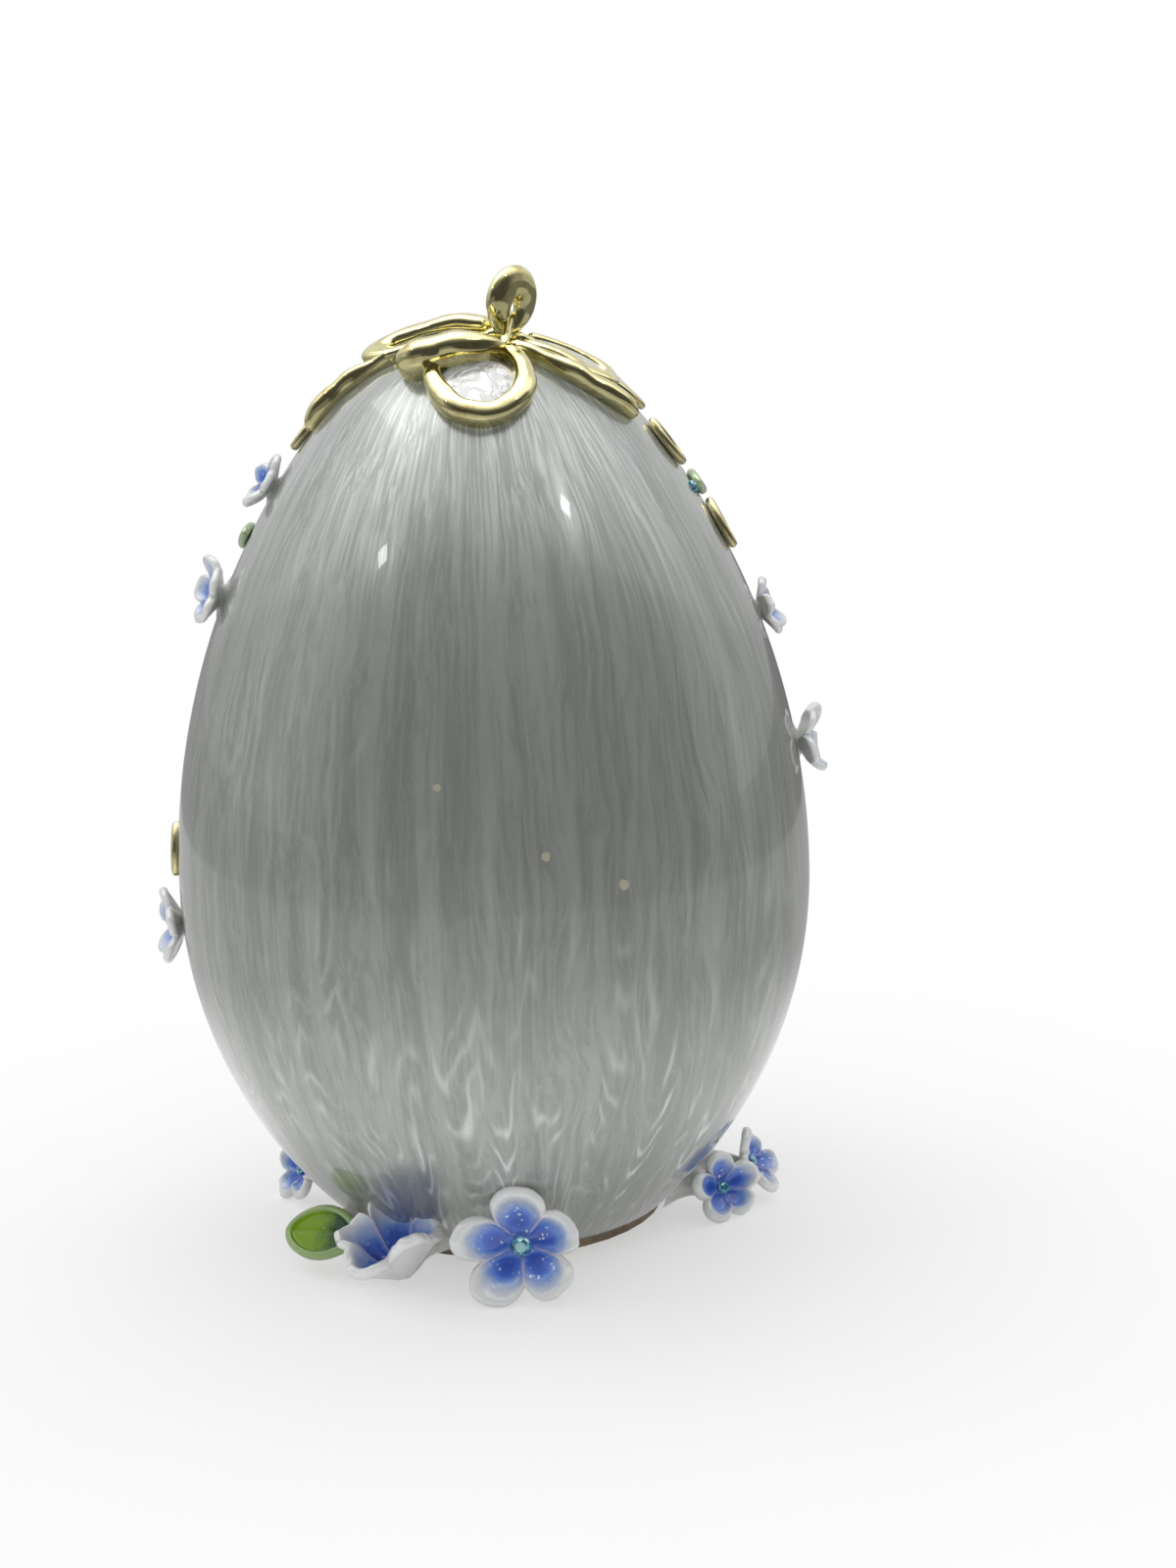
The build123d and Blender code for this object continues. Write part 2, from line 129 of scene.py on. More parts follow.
view_drop = radians(11)
view_roll = radians(1.6)
aimed_at = Vector((11.04, 0, 51.34)) * MM
view_distance = 273.1 * MM
ahead = Vector((0, cos(view_drop), -sin(view_drop)))
upright = Vector((0, sin(view_drop), cos(view_drop)))
right = Vector((cos(view_roll), 0, 0)) - upright * sin(view_roll)
above = Vector((sin(view_roll), 0, 0)) + upright * cos(view_roll)
eye = aimed_at - ahead * view_distance
camera_data = bpy.data.cameras.new("camera")
camera_data.sensor_width = 36
camera_data.lens = 54
camera_data.clip_start = 0.01
camera = add_object("camera", camera_data)
camera.matrix_world = Matrix.Translation(eye) @ Matrix((right, above, -ahead)).transposed().to_4x4()
bpy.context.scene.camera = camera
print("camera at (mm):", [round(value / MM, 1) for value in eye])

# %% [markdown]
# ## Sums that become nodes
# Materials and shape rules are both node trees. A long sum is easier to read as a Python expression
# than as a tangle of Math nodes, so a small class stands for a socket: arithmetic on it adds the
# nodes. Every other node comes from its one method, `node`, which takes the node's type, its settings
# and what goes into its sockets.


# %% A socket that can be calculated with
def fill(entry, value):
    """Link a field to a node's socket, or set the socket's own value."""
    if isinstance(value, Field):
        value.tree.links.new(value.socket, entry)
    elif entry.type == "RGBA":
        entry.default_value = (*value, 1)
    else:
        entry.default_value = value


class Field:
    """A socket of a node tree. Arithmetic on it adds the Math nodes that work it out."""

    def __init__(self, tree, socket=None):
        self.tree = tree
        self.socket = socket

    def node(self, kind, sockets=None, result=0, **settings):
        """Add a node, with the values or links of its sockets, its settings and the output to use."""
        made = self.tree.nodes.new(kind)
        for name, value in settings.items():
            if name == "stops":
                for _ in range(len(value) - 2):
                    made.color_ramp.elements.new(0.5)
                for element, (place, colour) in zip(made.color_ramp.elements, value):
                    element.position = place
                    element.color = (*colour, 1)
            else:
                setattr(made, name, value)
        for name, value in (sockets or {}).items():
            fill(self.pick(made.inputs, name), value)
        return Field(self.tree, self.pick(made.outputs, result))

    @staticmethod
    def pick(sockets, key):
        """The socket with this number or name that is in use."""
        in_use = [socket for socket in sockets if socket.enabled]
        return in_use[key] if isinstance(key, int) else [s for s in in_use if s.name == key][0]

    def maths(self, operation, *values):
        """Math node that has this field as its first value."""
        return self.node("ShaderNodeMath", dict(enumerate((self, *values))), operation=operation)

    def vector_maths(self, operation, *values):
        """The same for vectors."""
        return self.node("ShaderNodeVectorMath", dict(enumerate((self, *values))), operation=operation)

    def __rsub__(self, other):
        return self.node("ShaderNodeMath", {0: other, 1: self}, operation="SUBTRACT")

    __add__ = __radd__ = partialmethod(maths, "ADD")
    __sub__ = partialmethod(maths, "SUBTRACT")
    __mul__ = __rmul__ = partialmethod(maths, "MULTIPLY")
    __truediv__ = partialmethod(maths, "DIVIDE")
    __pow__ = partialmethod(maths, "POWER")
    least = partialmethod(maths, "MINIMUM")
    most = partialmethod(maths, "MAXIMUM")
    sine = partialmethod(maths, "SINE")
    cosine = partialmethod(maths, "COSINE")
    absolute = partialmethod(maths, "ABSOLUTE")

    def step(self, low, high, to_low=0.0, to_high=1.0, kind="SMOOTHSTEP"):
        """Step from one value to another while the field goes from low to high, held at both ends."""
        ends = {"Value": self, "From Min": low, "From Max": high, "To Min": to_low, "To Max": to_high}
        return self.node("ShaderNodeMapRange", ends, interpolation_type=kind)

    def parts(self):
        """The X, Y and Z of a vector."""
        whole = self.node("ShaderNodeSeparateXYZ", {0: self})
        return [Field(self.tree, output) for output in whole.socket.node.outputs]

    def vector(self, x, y, z):
        """Vector of three fields or numbers, in this field's tree."""
        return self.node("ShaderNodeCombineXYZ", {0: x, 1: y, 2: z})

    def mixed(self, first, second):
        """Colour between two others, at this field's share."""
        return self.node("ShaderNodeMix", {"Factor": self, "A": first, "B": second}, data_type="RGBA")

    def noise(self, scale, detail=2.0, roughness=0.5, distortion=0.0):
        """Cloudy noise at this field's place."""
        sizes = {"Scale": scale, "Detail": detail, "Roughness": roughness, "Distortion": distortion}
        return self.node("ShaderNodeTexNoise", {"Vector": self, **sizes})


# %% [markdown]
# ## Shapes that follow a rule
# Petals, leaves, ribbons and the egg's wall are all surfaces that a short formula describes, so
# Geometry Nodes make them. A tree takes its sizes as named inputs. Its result is turned into a plain
# mesh at once, whose doubles are merged and whose faces are turned outward.


# %% Trees of geometry and how they become pieces
def shape_tree(name, sizes):
    """Geometry Nodes tree with named inputs, those inputs as fields, and a field to start from."""
    tree = bpy.data.node_groups.new(name, "GeometryNodeTree")
    tree.interface.new_socket("Geometry", in_out="INPUT", socket_type="NodeSocketGeometry")
    for label, value in sizes.items():
        kind = {int: "Int", float: "Float", tuple: "Vector", type(None): "Object"}[type(value)]
        made = tree.interface.new_socket(label, in_out="INPUT", socket_type="NodeSocket" + kind)
        if value is not None:
            made.default_value = value
    tree.interface.new_socket("Geometry", in_out="OUTPUT", socket_type="NodeSocketGeometry")
    entry = tree.nodes.new("NodeGroupInput")
    fields = {socket.name: Field(tree, socket) for socket in entry.outputs if socket.name}
    return tree, fields, Field(tree)


def finish_tree(shape, material):
    """End a tree with real geometry in a material."""
    real = shape.node("GeometryNodeRealizeInstances", {"Geometry": shape})
    dressed = shape.node("GeometryNodeSetMaterial", {"Geometry": real, "Material": material})
    fill(shape.tree.nodes.new("NodeGroupOutput").inputs[0], dressed)


def wound_grid(start, size):
    """Grid for a skin, with the angle of its columns round the axis and the share of its rows."""
    counts = {"Vertices X": size["Columns"] + 1, "Vertices Y": size["Rows"] + 1}
    grid = start.node("GeometryNodeMeshGrid", {"Size X": 1.0, "Size Y": 1.0, **counts})
    column, row, _ = start.node("GeometryNodeInputPosition").parts()
    return grid, (column + 0.5) * (2 * pi), row + 0.5


def smooth_path(start, size):
    """Smooth curve through the source's vertices, and how far a section swells along it."""
    curve = start.node("GeometryNodeMeshToCurve", {"Mesh": size["Geometry"]})
    curve = curve.node("GeometryNodeCurveSplineType", {"Curve": curve}, spline_type="CATMULL_ROM")
    curve = curve.node("GeometryNodeResampleCurve", {"Curve": curve, "Count": size["Steps"]}, mode="COUNT")
    return curve, named(start, "swell")


def named(start, name, kind="FLOAT"):
    """Attribute of the tree's source mesh as a field."""
    return start.node("GeometryNodeInputNamedAttribute", {"Name": name}, data_type=kind)


def circle(start, corners, radius):
    """Round section of a swept curve."""
    sockets = {"Resolution": corners, "Radius": radius}
    return start.node("GeometryNodeCurvePrimitiveCircle", sockets, mode="RADIUS")


def swept(curve, ring, thickness):
    """Closed skin of a section that runs along a curve."""
    sockets = {"Curve": curve, "Profile Curve": ring, "Scale": thickness, "Fill Caps": True}
    return curve.node("GeometryNodeCurveToMesh", sockets)


def moved(shape, place):
    """Geometry with its points at new places."""
    return shape.node("GeometryNodeSetPosition", {"Geometry": shape, "Position": place})


def stored(shape, name, value, domain="POINT"):
    """Keep a field on the geometry as a named attribute that materials can read."""
    sockets = {"Geometry": shape, "Name": name, "Value": value}
    return shape.node("GeometryNodeStoreNamedAttribute", sockets, data_type="FLOAT", domain=domain)


# %% From a rule to a piece
def plain_mesh(name, points, edges=(), faces=()):
    """Mesh of these points, with the edges or faces between their numbers."""
    mesh = bpy.data.meshes.new(name)
    mesh.from_pydata([tuple(point) for point in points], edges, faces)
    return mesh


def tidied(mesh):
    """Merge the doubles of a closed mesh and turn its faces outward."""
    work = bmesh.new()
    work.from_mesh(mesh)
    bmesh.ops.remove_doubles(work, verts=work.verts, dist=0.002 * MM)
    bmesh.ops.recalc_face_normals(work, faces=work.faces)
    work.to_mesh(mesh)
    work.free()
    return mesh


def grown(name, tree, sizes, source=None):
    """Plain mesh that a tree makes with these sizes, from source points where it needs some."""
    holder = add_object(name, source or bpy.data.meshes.new(name))
    rule = holder.modifiers.new("rule", "NODES")
    rule.node_group = tree
    for item in tree.interface.items_tree:
        if item.in_out == "INPUT" and item.name in sizes:
            rule[item.identifier] = sizes[item.name]
    seen = bpy.context.evaluated_depsgraph_get()
    mesh = bpy.data.meshes.new_from_object(
        holder.evaluated_get(seen), preserve_all_data_layers=True, depsgraph=seen
    )
    holder.modifiers.remove(rule)
    bpy.data.objects.remove(holder)
    return tidied(mesh)


def piece(name, meshes, nodes):
    """One object of one or more meshes that stands for CAD nodes."""
    whole = bmesh.new()
    materials = []
    for mesh in meshes:
        start = len(whole.faces)
        whole.from_mesh(mesh)
        whole.faces.ensure_lookup_table()
        for face in whole.faces[start:]:
            material = mesh.materials[face.material_index]
            if material not in materials:
                materials.append(material)
            face.material_index = materials.index(material)
            face.smooth = not material.get("faceted", False)
    joined = bpy.data.meshes.new(name)
    whole.to_mesh(joined)
    whole.free()
    for material in materials:
        joined.materials.append(material)
    made = add_object(name, joined)
    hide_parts(*nodes)
    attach(made, "root")
    print(name, "faces:", len(joined.polygons))
    return made


# %% [markdown]
# ## Pearl enamel
# The wall's enamel is white with mica in it. It was stirred and brushed downward while soft, so the
# mica lies in fine upright streaks, and low on the wall it ran together into swirls and small tongues.
# The noise is read at the angle round the egg and at a much shortened height, which draws it out
# upward. For the strands, points are scattered round the egg in the same way, and the sine of the
# distance to the nearest one is bright along nested curves. Lower on the wall a term in the square of
# the height draws these down into tongues, and a little noise swirls them. Mica reflects like a soft
# metal, which the Metallic share stands for. The clear coat on top gives the sharp reflections, over
# enamel that is rougher at the foot. Three small cream spots on the front are painted glints, and a
# browner band along the lowest edge, where the wall meets the plate, is painted shade.


# %% How a material is made
def material_tree(name):
    """New material, its Principled shader, and the place on the object as a field."""
    material = bpy.data.materials.new(name)
    material.use_nodes = True
    place = Field(material.node_tree).node("ShaderNodeTexCoord", result="Object")
    return material, material.node_tree.nodes["Principled BSDF"], place


def read_back(start, name):
    """Number that a shape rule stored on the mesh."""
    return start.node("ShaderNodeAttribute", result="Fac", attribute_name=name)


def feed(shader, **sockets):
    """Set or link sockets of a shader; an underscore stands for the space in a name."""
    for name, value in sockets.items():
        fill(shader.inputs[name.replace("_", " ")], value)


def bump(height, distance, strength):
    """Normal tilted by a field that is read as a height over this distance."""
    sockets = {"Height": height, "Distance": distance, "Strength": strength}
    return height.node("ShaderNodeBump", sockets)


# %% Pearl enamel
def pearl_streaks(place):
    """Brushed grain, strands of mica and their masks round the egg, with the height in mm."""
    x, y, z = place.parts()
    distance = (x * x + y * y) ** 0.5 + 0.0001
    round_x, round_y, height = x / distance, y / distance, z / MM

    def round_egg(turns, level, side=0.0):
        """Where a noise is read: so fine round the egg, at this level, and pushed to a side."""
        return place.vector(round_x * turns + side, round_y * turns + side, level)

    low = height.step(4, 50, 1.0, 0.0)
    crown = height.step(72, 97)
    drift = round_egg(2.6, height * 0.035 + 5).noise(1.0) - 0.5
    side = drift * (1.2 + low * 1.6)
    tongues = round_egg(6.4, height * 0.022 + drift, side)
    off_tongue = tongues.node("ShaderNodeTexVoronoi", {"Vector": tongues, "Scale": 1.0}, "Distance")
    swirl = round_egg(13, height * 0.10).noise(1.0) - 0.5
    down = (50 - height).most(0.0)
    drawn = off_tongue * 27 + down * down * 0.022 + swirl * (4 + low * 11)
    thick = round_egg(14, height * 0.055 + 9, side).noise(1.0)
    strand = (drawn.sine() * 0.5 + 0.5) ** 3.5 * thick.step(0.42, 0.66)
    strand = strand * (0.55 + off_tongue.step(0.15, 0.55, 1.0, 0.0) * low)
    broad = round_egg(17, height * 0.022, side).noise(1.0)
    fine = round_egg(24, height * 0.045 + broad * 2, side * 5).noise(2.6, 3.0, 0.65)
    return broad, strand, fine, low, crown, height


def painted_glint(place, azimuth, slope, reach):
    """Mask of one painted glint on the wall's enamel."""
    apart = place.vector_maths("DISTANCE", tuple(on_wall(azimuth, slope)))
    ragged = apart / reach + (place.noise(2500, 2.0, 0.6) - 0.5) * 1.1
    return ragged.step(0.8, 1.0, 1.0, 0.0)


pearl, pearl_shader, place = material_tree("pearl_enamel_wall")
broad, strand, fine, low, crown, height = pearl_streaks(place)
grain = (broad * 0.40 + fine * 0.60).step(0.36, 0.64)
tone = (grain * 0.85).mixed((0.294, 0.311, 0.286), (0.408, 0.428, 0.402))
tone = (broad.step(0.48, 0.64) * 0.16).mixed(tone, (0.50, 0.525, 0.50))
tone = (strand * (low * 0.50 + 0.36)).mixed(tone, (0.79, 0.82, 0.80))
tone = (crown * (0.02 + fine.step(0.47, 0.62) * 0.66)).mixed(tone, (0.60, 0.64, 0.63))
# Painted glints: three small cream spots on the front of the wall stand for bright glints.
painted_glints = painted_glint(place, 10.5, 6.5, 0.50 * MM)
painted_glints = painted_glints.most(painted_glint(place, 23.5, 4.0, 0.62 * MM)).most(painted_glint(place, -7.0, 11.5, 0.42 * MM))
tone = (painted_glints * 0.8).mixed(tone, (0.72, 0.66, 0.50))
# Painted shade: a browner, less metallic band along the wall's lowest edge, in the crease where it meets the
# plate.
painted_crease_shade = height.step(2.25, 2.55, 1.0, 0.0)
tone = painted_crease_shade.mixed(tone, (0.34, 0.30, 0.25))
feed(
    pearl_shader,
    Base_Color=tone,
    Metallic=(strand * 0.10 + 0.46) * (1 - painted_crease_shade * 0.5),
    Roughness=0.30 - grain * 0.06 + height.step(4, 18, 0.16, 0.0),
    Coat_Weight=1.0,
    Coat_Roughness=0.03,
    Normal=bump(broad * 0.8 + fine * 0.15 + strand * 0.15, 0.00006, 0.5),
)
print("pearl enamel made")

# %% [markdown]
# ## The egg's wall
# One grid is wound round the axis. Along its rows the wall's slope runs from the base's edge to the
# tip, and each of the three arcs takes over where the last one ends, exactly as in the CAD. The last
# rows turn in under the egg and close against the plate in its opening, so the wall looks thick from
# below.

# %% Egg wall
egg_tree, size, start = shape_tree("egg_wall_rule", {
    "Egg radius": egg_radius, "Upper radius": upper_radius, "Lower radius": lower_radius,
    "Crown radius": crown_radius, "Widest height": widest_height, "Crown height": crown_centre.z,
    "Crown slope": crown_slope, "Base slope": base_slope, "Opening radius": opening_radius,
    "Lip height": 1.6 * MM, "Rows": 132, "Columns": 168, "Underside rows": 6,
})
grid, turn, over = wound_grid(start, size)
share = over * size["Rows"]
wall_share = (share - size["Underside rows"]) / (size["Rows"] - size["Underside rows"])
under = 1 - (share / size["Underside rows"]).least(1.0)
slope = size["Base slope"] + (pi / 2 - size["Base slope"]) * wall_share.most(0.0)
on_cap = slope.maths("GREATER_THAN", size["Crown slope"])
on_low = slope.maths("LESS_THAN", 0.0)
arc = size["Upper radius"] + on_low * (size["Lower radius"] - size["Upper radius"])
arc = arc + on_cap * (size["Crown radius"] - arc)
centre_out = (size["Egg radius"] - arc) * (1 - on_cap)
centre_up = size["Widest height"] + on_cap * (size["Crown height"] - size["Widest height"])
distance = centre_out + arc * slope.cosine()
level = centre_up + arc * slope.sine()
flat_share, lip_start = 1 / 1.6, 0.6
inward = under / flat_share
distance = distance + inward.least(1.0) * (size["Opening radius"] - distance)
level = level + (inward - lip_start).most(0.0) * size["Lip height"]
distance = distance.most(0.0)
place = start.vector(distance * turn.sine(), distance * turn.cosine() * -1, level)
finish_tree(moved(grid, place), pearl)
egg = piece("egg_wall", [grown("egg_wall", egg_tree, {"Rows": 132})], ["egg_shell"])
egg_top_place = max(vertex.co.z for vertex in egg.data.vertices)
print("egg wall top (mm):", round(egg_top_place / MM, 2))

# %% [markdown]
# ## Gold
# The bow is plated in pale, slightly green gold and polished. Its surface isn't quite even, because it
# was cast from soft wax: slow waves in it break every reflection up, and the hollows between the
# ribbons look brown where gold reflects gold. That brown is painted into the colour as painted
# reflection, in patches of random noise rather than in the hollows. Slow noise drives a bump for the
# waves and a little of the roughness.

# %% Gold
gold, gold_shader, place = material_tree("bow_gold")
wave = place.noise(240, 1.0)
grain = place.noise(2600, 3.0, 0.6)
# Patches of painted brown reflection, which stand for gold mirrored in gold.
painted_brown_reflection = place.noise(520, 3.0, 0.6).step(0.52, 0.72)
feed(
    gold_shader,
    Base_Color=(painted_brown_reflection * 0.5).mixed((0.89, 0.82, 0.44), (0.58, 0.40, 0.12)),
    Metallic=1.0,
    Roughness=grain.step(0.3, 0.7, 0.06, 0.13, "LINEAR"),
    Normal=bump(wave, 0.0007, 0.6),
)

# %% [markdown]
# ## Ribbons over the crown
# Every part of the bow is a ribbon that lies on the crown: it has a path, a section and thinner ends.
# That is what a curve with a profile does well. The tree takes the path's points as a line of
# vertices, draws a smooth curve through them, points the curve's normals away from a centre, so that
# the ribbon stands upright on the round crown, and sweeps a rounded section along it. The ends are
# rounded off by shrinking the section over the last stretch, and slow noise gives the waxy surface.

# %% Ribbon tree
ribbon_tree, size, start = shape_tree("ribbon_rule", {
    "Width": 1.6 * MM, "Height": 2.8 * MM, "Steps": 72, "Wave": 0.12 * MM, "Seed": 0.0,
    "Open": 1.0, "Centre": tuple(crown_centre), "Squareness": 0.75,
})
curve, swell = smooth_path(start, size)
spot = start.node("GeometryNodeInputPosition")
away = spot.vector_maths("SUBTRACT", size["Centre"]).vector_maths("NORMALIZE")
curve = curve.node("GeometryNodeSetCurveNormal", {"Curve": curve, "Normal": away}, mode="FREE")
along = start.node("GeometryNodeSplineParameter", result="Length")
total = start.node("GeometryNodeSplineLength")
to_end = (along.least(total - along) / (size["Width"] * 0.5)).least(1.0)
rounding = (1.0 - (1.0 - to_end) ** 2).most(0.02) ** 0.5
thickness = swell * (1.0 - size["Open"] * (1.0 - rounding))
ring = circle(start, 18, 1.0)
around_x, around_y, _ = spot.parts()


def squared(value):
    """Coordinate of a round section that is squared off a little."""
    return value.maths("SIGN") * (value.absolute() ** size["Squareness"])


section = start.vector(squared(around_x) * size["Width"] * 0.5, squared(around_y) * size["Height"] * 0.5, 0.0)
band = swept(curve, moved(ring, section), thickness)
facing = start.node("GeometryNodeInputNormal")
shifted = spot.vector_maths("ADD", start.vector(size["Seed"], size["Seed"], size["Seed"]))
waviness = (shifted.noise(210, 1.0) - 0.5) * size["Wave"] * 2
offset = facing.vector_maths("SCALE", waviness)
band = band.node("GeometryNodeSetPosition", {"Geometry": band, "Offset": offset})
finish_tree(band, gold)


def path_mesh(name, points, swells, closed=False):
    """Line of vertices with how far the section swells at each."""
    edges = [(number, number + 1) for number in range(len(points) - 1)]
    if closed:
        edges.append((len(points) - 1, 0))
    mesh = plain_mesh(name, points, edges)
    mesh.attributes.new("swell", "FLOAT", "POINT").data.foreach_set("value", swells)
    return mesh


# %% [markdown]
# ## The bow
# The bow looks built up of wax rods, bent on the crown before it was cast. Each loop is a teardrop in
# plan that starts and ends at the knot, and each tail is a bent line. The front fold and the ring
# follow the photograph. The knot rises over all of them, with a lump on either side.
# Plan places are shares of the crown's radius, and `on_crown` lifts them onto it. The swells say how
# broad the rod is at each place, because hand-laid wax never keeps one width.

# %% Bow on the crown
bow_centre = (0.15, -0.08)
loops = {
    "bow_left_loop": (0.07, -0.075, 177, 0.51, 0.095),
    "bow_right_loop": (0.22, -0.12, -6, 0.39, 0.10),
    "bow_rear_right_loop": (0.23, 0.065, -9, 0.52, 0.12),
    "bow_rear_left_loop": (0.06, 0.12, 158, 0.46, 0.09),
}
near_low = [0.56, 0.54, 0.58, 0.62, 0.70, 0.82, 0.94, 1.04, 1.10, 1.14, 1.16, 1.16, 1.20, 1.22, 1.10]
loop_swells = {
    "bow_left_loop": near_low,
    "bow_right_loop": [
        0.80, 0.82, 0.80, 0.78, 0.80, 0.78, 0.74, 0.76, 0.80, 0.74, 0.66, 0.62, 0.68, 0.62, 0.60,
    ],
    "bow_rear_right_loop": [
        0.80, 0.78, 0.74, 0.68, 0.62, 0.58, 0.56, 0.56, 0.56, 0.58, 0.60, 0.60, 0.64, 0.66, 0.70,
    ],
    "bow_rear_left_loop": near_low[::-1],
}
tails = {
    "bow_left_tail": ((-0.36, -0.155), (-0.58, -0.135), (-0.79, -0.15)),
    "bow_right_tail": ((0.16, -0.27), (0.46, -0.47), (0.725, -0.30)),
    "bow_rear_left_tail": ((0.10, 0.22), (0.04, 0.50), (-0.04, 0.76)),
    "bow_rear_right_tail": ((0.20, 0.22), (0.34, 0.46), (0.40, 0.72)),
}
tail_swells = [0.85, 0.92, 0.90, 1.02, 1.12, 1.02, 1.10, 1.05, 0.75]
loop_width, loop_height = 1.7 * MM, 2.9 * MM
tail_width, tail_height = 2.2 * MM, 1.9 * MM
ring_width, ring_height = 2.5 * MM, 2.3 * MM
fold_width, fold_height = 4.2 * MM, 3.2 * MM
knot_width, knot_height = 3.6 * MM, 1.6 * MM
sunk = 0.25 * MM
root_spread = 0.045
left_rise = 1.25


# %% How a ribbon lies on the crown
def bent(start, bend, tip, steps):
    """Plan places from a start to a tip, drawn towards a bend between them."""
    shares = [step / steps for step in range(steps + 1)]
    return [
        tuple((1 - t) ** 2 * a + 2 * t * (1 - t) * b + t * t * c for a, b, c in zip(start, bend, tip))
        for t in shares
    ]


def ribbon(name, plan, swells, width, height, seed, wave=0.30 * MM, raised=None):
    """Ribbon that lies on the crown along plan places, a little sunk in the enamel."""
    raised = raised or [0.0] * len(plan)
    points = [
        on_crown(spot, height * swell / 2 - sunk + extra) for spot, swell, extra in zip(plan, swells, raised)
    ]
    sizes = {"Width": width, "Height": height, "Seed": seed * 0.01, "Wave": wave}
    return grown(name, ribbon_tree, sizes, path_mesh(name, points, swells))


def loop_plan(x, y, heading, length, half_width):
    """Teardrop from the knot round its outer end and back, in plan shares."""
    middle = length - half_width
    lean = atan2(half_width - root_spread, middle)
    bow_end = [pi / 2 + lean - (pi + 2 * lean) * step / 8 for step in range(9)]
    end = [(middle + half_width * cos(angle), half_width * sin(angle)) for angle in bow_end]
    far_x, far_y = end[0]
    leg = [(far_x * share, root_spread + (far_y - root_spread) * share) for share in (0, 1 / 3, 2 / 3)]
    local = leg + end + [(a, -b) for a, b in leg[::-1]]
    ahead_x, ahead_y = cos(radians(heading)), sin(radians(heading))
    return [(x + a * ahead_x - b * ahead_y, y + a * ahead_y + b * ahead_x) for a, b in local]


# %% Loops and tails
for number, (name, values) in enumerate(loops.items()):
    height = loop_height * (left_rise if "left" in name else 1.0)
    mesh = ribbon(name, loop_plan(*values), loop_swells[name], loop_width, height, number)
    piece(name + "_ribbon", [mesh], [name])

for number, (name, (root, bend, tip)) in enumerate(tails.items()):
    mesh = ribbon(name, bent(root, bend, tip, 8), tail_swells, tail_width, tail_height, 10 + number)
    piece(name + "_ribbon", [mesh], [name])

# %% Fold, ring and knot
fold_plan = [
    (0.13, -0.34), (0.08, -0.39), (0.01, -0.42), (-0.07, -0.435), (-0.15, -0.44), (-0.22, -0.455),
    (-0.275, -0.43), (-0.30, -0.38),
]
fold_swells = [0.62, 0.78, 0.94, 1.08, 1.06, 1.12, 1.02, 0.74]
ring_plan = [
    (-0.175, -0.47), (-0.175, -0.54), (-0.16, -0.61), (-0.12, -0.68), (-0.06, -0.735), (0.02, -0.755),
    (0.10, -0.745), (0.17, -0.70), (0.215, -0.63), (0.225, -0.55), (0.205, -0.47), (0.165, -0.39),
    (0.14, -0.32),
]
ring_swells = [0.80, 0.86, 0.98, 1.08, 1.04, 1.10, 1.04, 1.10, 1.08, 0.96, 0.86, 0.80, 0.72]
knot_plan = bent((0.15, 0.16), (0.15, -0.08), (0.13, -0.34), 6)
knot_swells = [0.8, 0.95, 1.0, 0.95, 0.8, 0.7, 0.62]
knot_rise = [0.0, 0.5 * MM, 1.0 * MM, 1.2 * MM, 0.9 * MM, 0.4 * MM, 0.1 * MM]
right_lump = bent((0.16, -0.16), (0.23, -0.14), (0.29, -0.12), 4)
left_lump = bent((0.14, -0.10), (0.08, -0.12), (0.00, -0.10), 4)
front_ribbons = {
    "bow_fold": [(fold_plan, fold_swells, fold_width, fold_height, 21, 0.36 * MM)],
    "bow_ring": [(ring_plan, ring_swells, ring_width, ring_height, 22, 0.36 * MM)],
    "bow_knot": [
        (knot_plan, knot_swells, knot_width, knot_height, 23, 0.30 * MM, knot_rise),
        (right_lump, [0.7, 0.9, 0.8, 0.7, 0.5], 1.9 * MM, 2.4 * MM, 24),
        (left_lump, [0.7, 0.9, 0.9, 0.7, 0.5], 1.8 * MM, 2.2 * MM, 25),
    ],
}
for name, rods in front_ribbons.items():
    piece(name + "_ribbon", [ribbon(name, *rod) for rod in rods], [name])

# %% [markdown]
# ## The standing loop
# One loop of the bow stands on its edge over the knot and gives the egg its highest point. It is the
# same ribbon, broader, closed on itself in a teardrop, and its normals point away from the loop's own
# middle, so that the photograph sees its outside on the left and into it on the right.

# %% Standing loop
standing_low, standing_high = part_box("bow_standing_loop")
standing_heading = radians(50)
standing_drop = 0.35 * MM
up = (on_crown(bow_centre, 1.0) - on_crown(bow_centre)).normalized()
across = Vector((cos(standing_heading), sin(standing_heading), 0))
middle = (Vector(standing_low) + Vector(standing_high)) / 2 - up * standing_drop
teardrop = [
    (-0.20, -3.3, 0.62), (-1.25, -2.5, 0.78), (-1.95, -1.2, 0.96), (-2.15, 0.1, 1.08), (-1.85, 1.2, 1.10),
    (-1.00, 1.95, 1.08), (0.25, 2.10, 1.06), (1.35, 1.60, 1.00), (1.95, 0.5, 0.94), (1.80, -0.8, 0.84),
    (1.05, -2.1, 0.70),
]
points = [middle + across * side * MM + up * level * MM for side, level, _ in teardrop]
standing_mesh = grown(
    "standing_loop", ribbon_tree, {
        "Width": 3.5 * MM, "Height": 2.1 * MM, "Seed": 0.31, "Open": 0.0, "Centre": tuple(middle),
        "Wave": 0.16 * MM, "Squareness": 1.0,
    },
    path_mesh("standing_loop", points, [swell for _, _, swell in teardrop], closed=True),
)
piece("bow_standing_loop_ribbon", [standing_mesh], ["bow_standing_loop"])

# %% [markdown]
# ## Petal enamel
# A petal is white with a blue heart. The blue was dropped in by the hub and ran out before it reached
# the rim, so it is deepest in the middle of each petal and pale where it meets the white. The shape
# rule below stores how far every point is from its petal's heart, and a colour ramp turns that share
# into enamel. Fine mica glitters in it: the few cells of a Voronoi pattern whose random value is high
# turn into small bright metal specks.

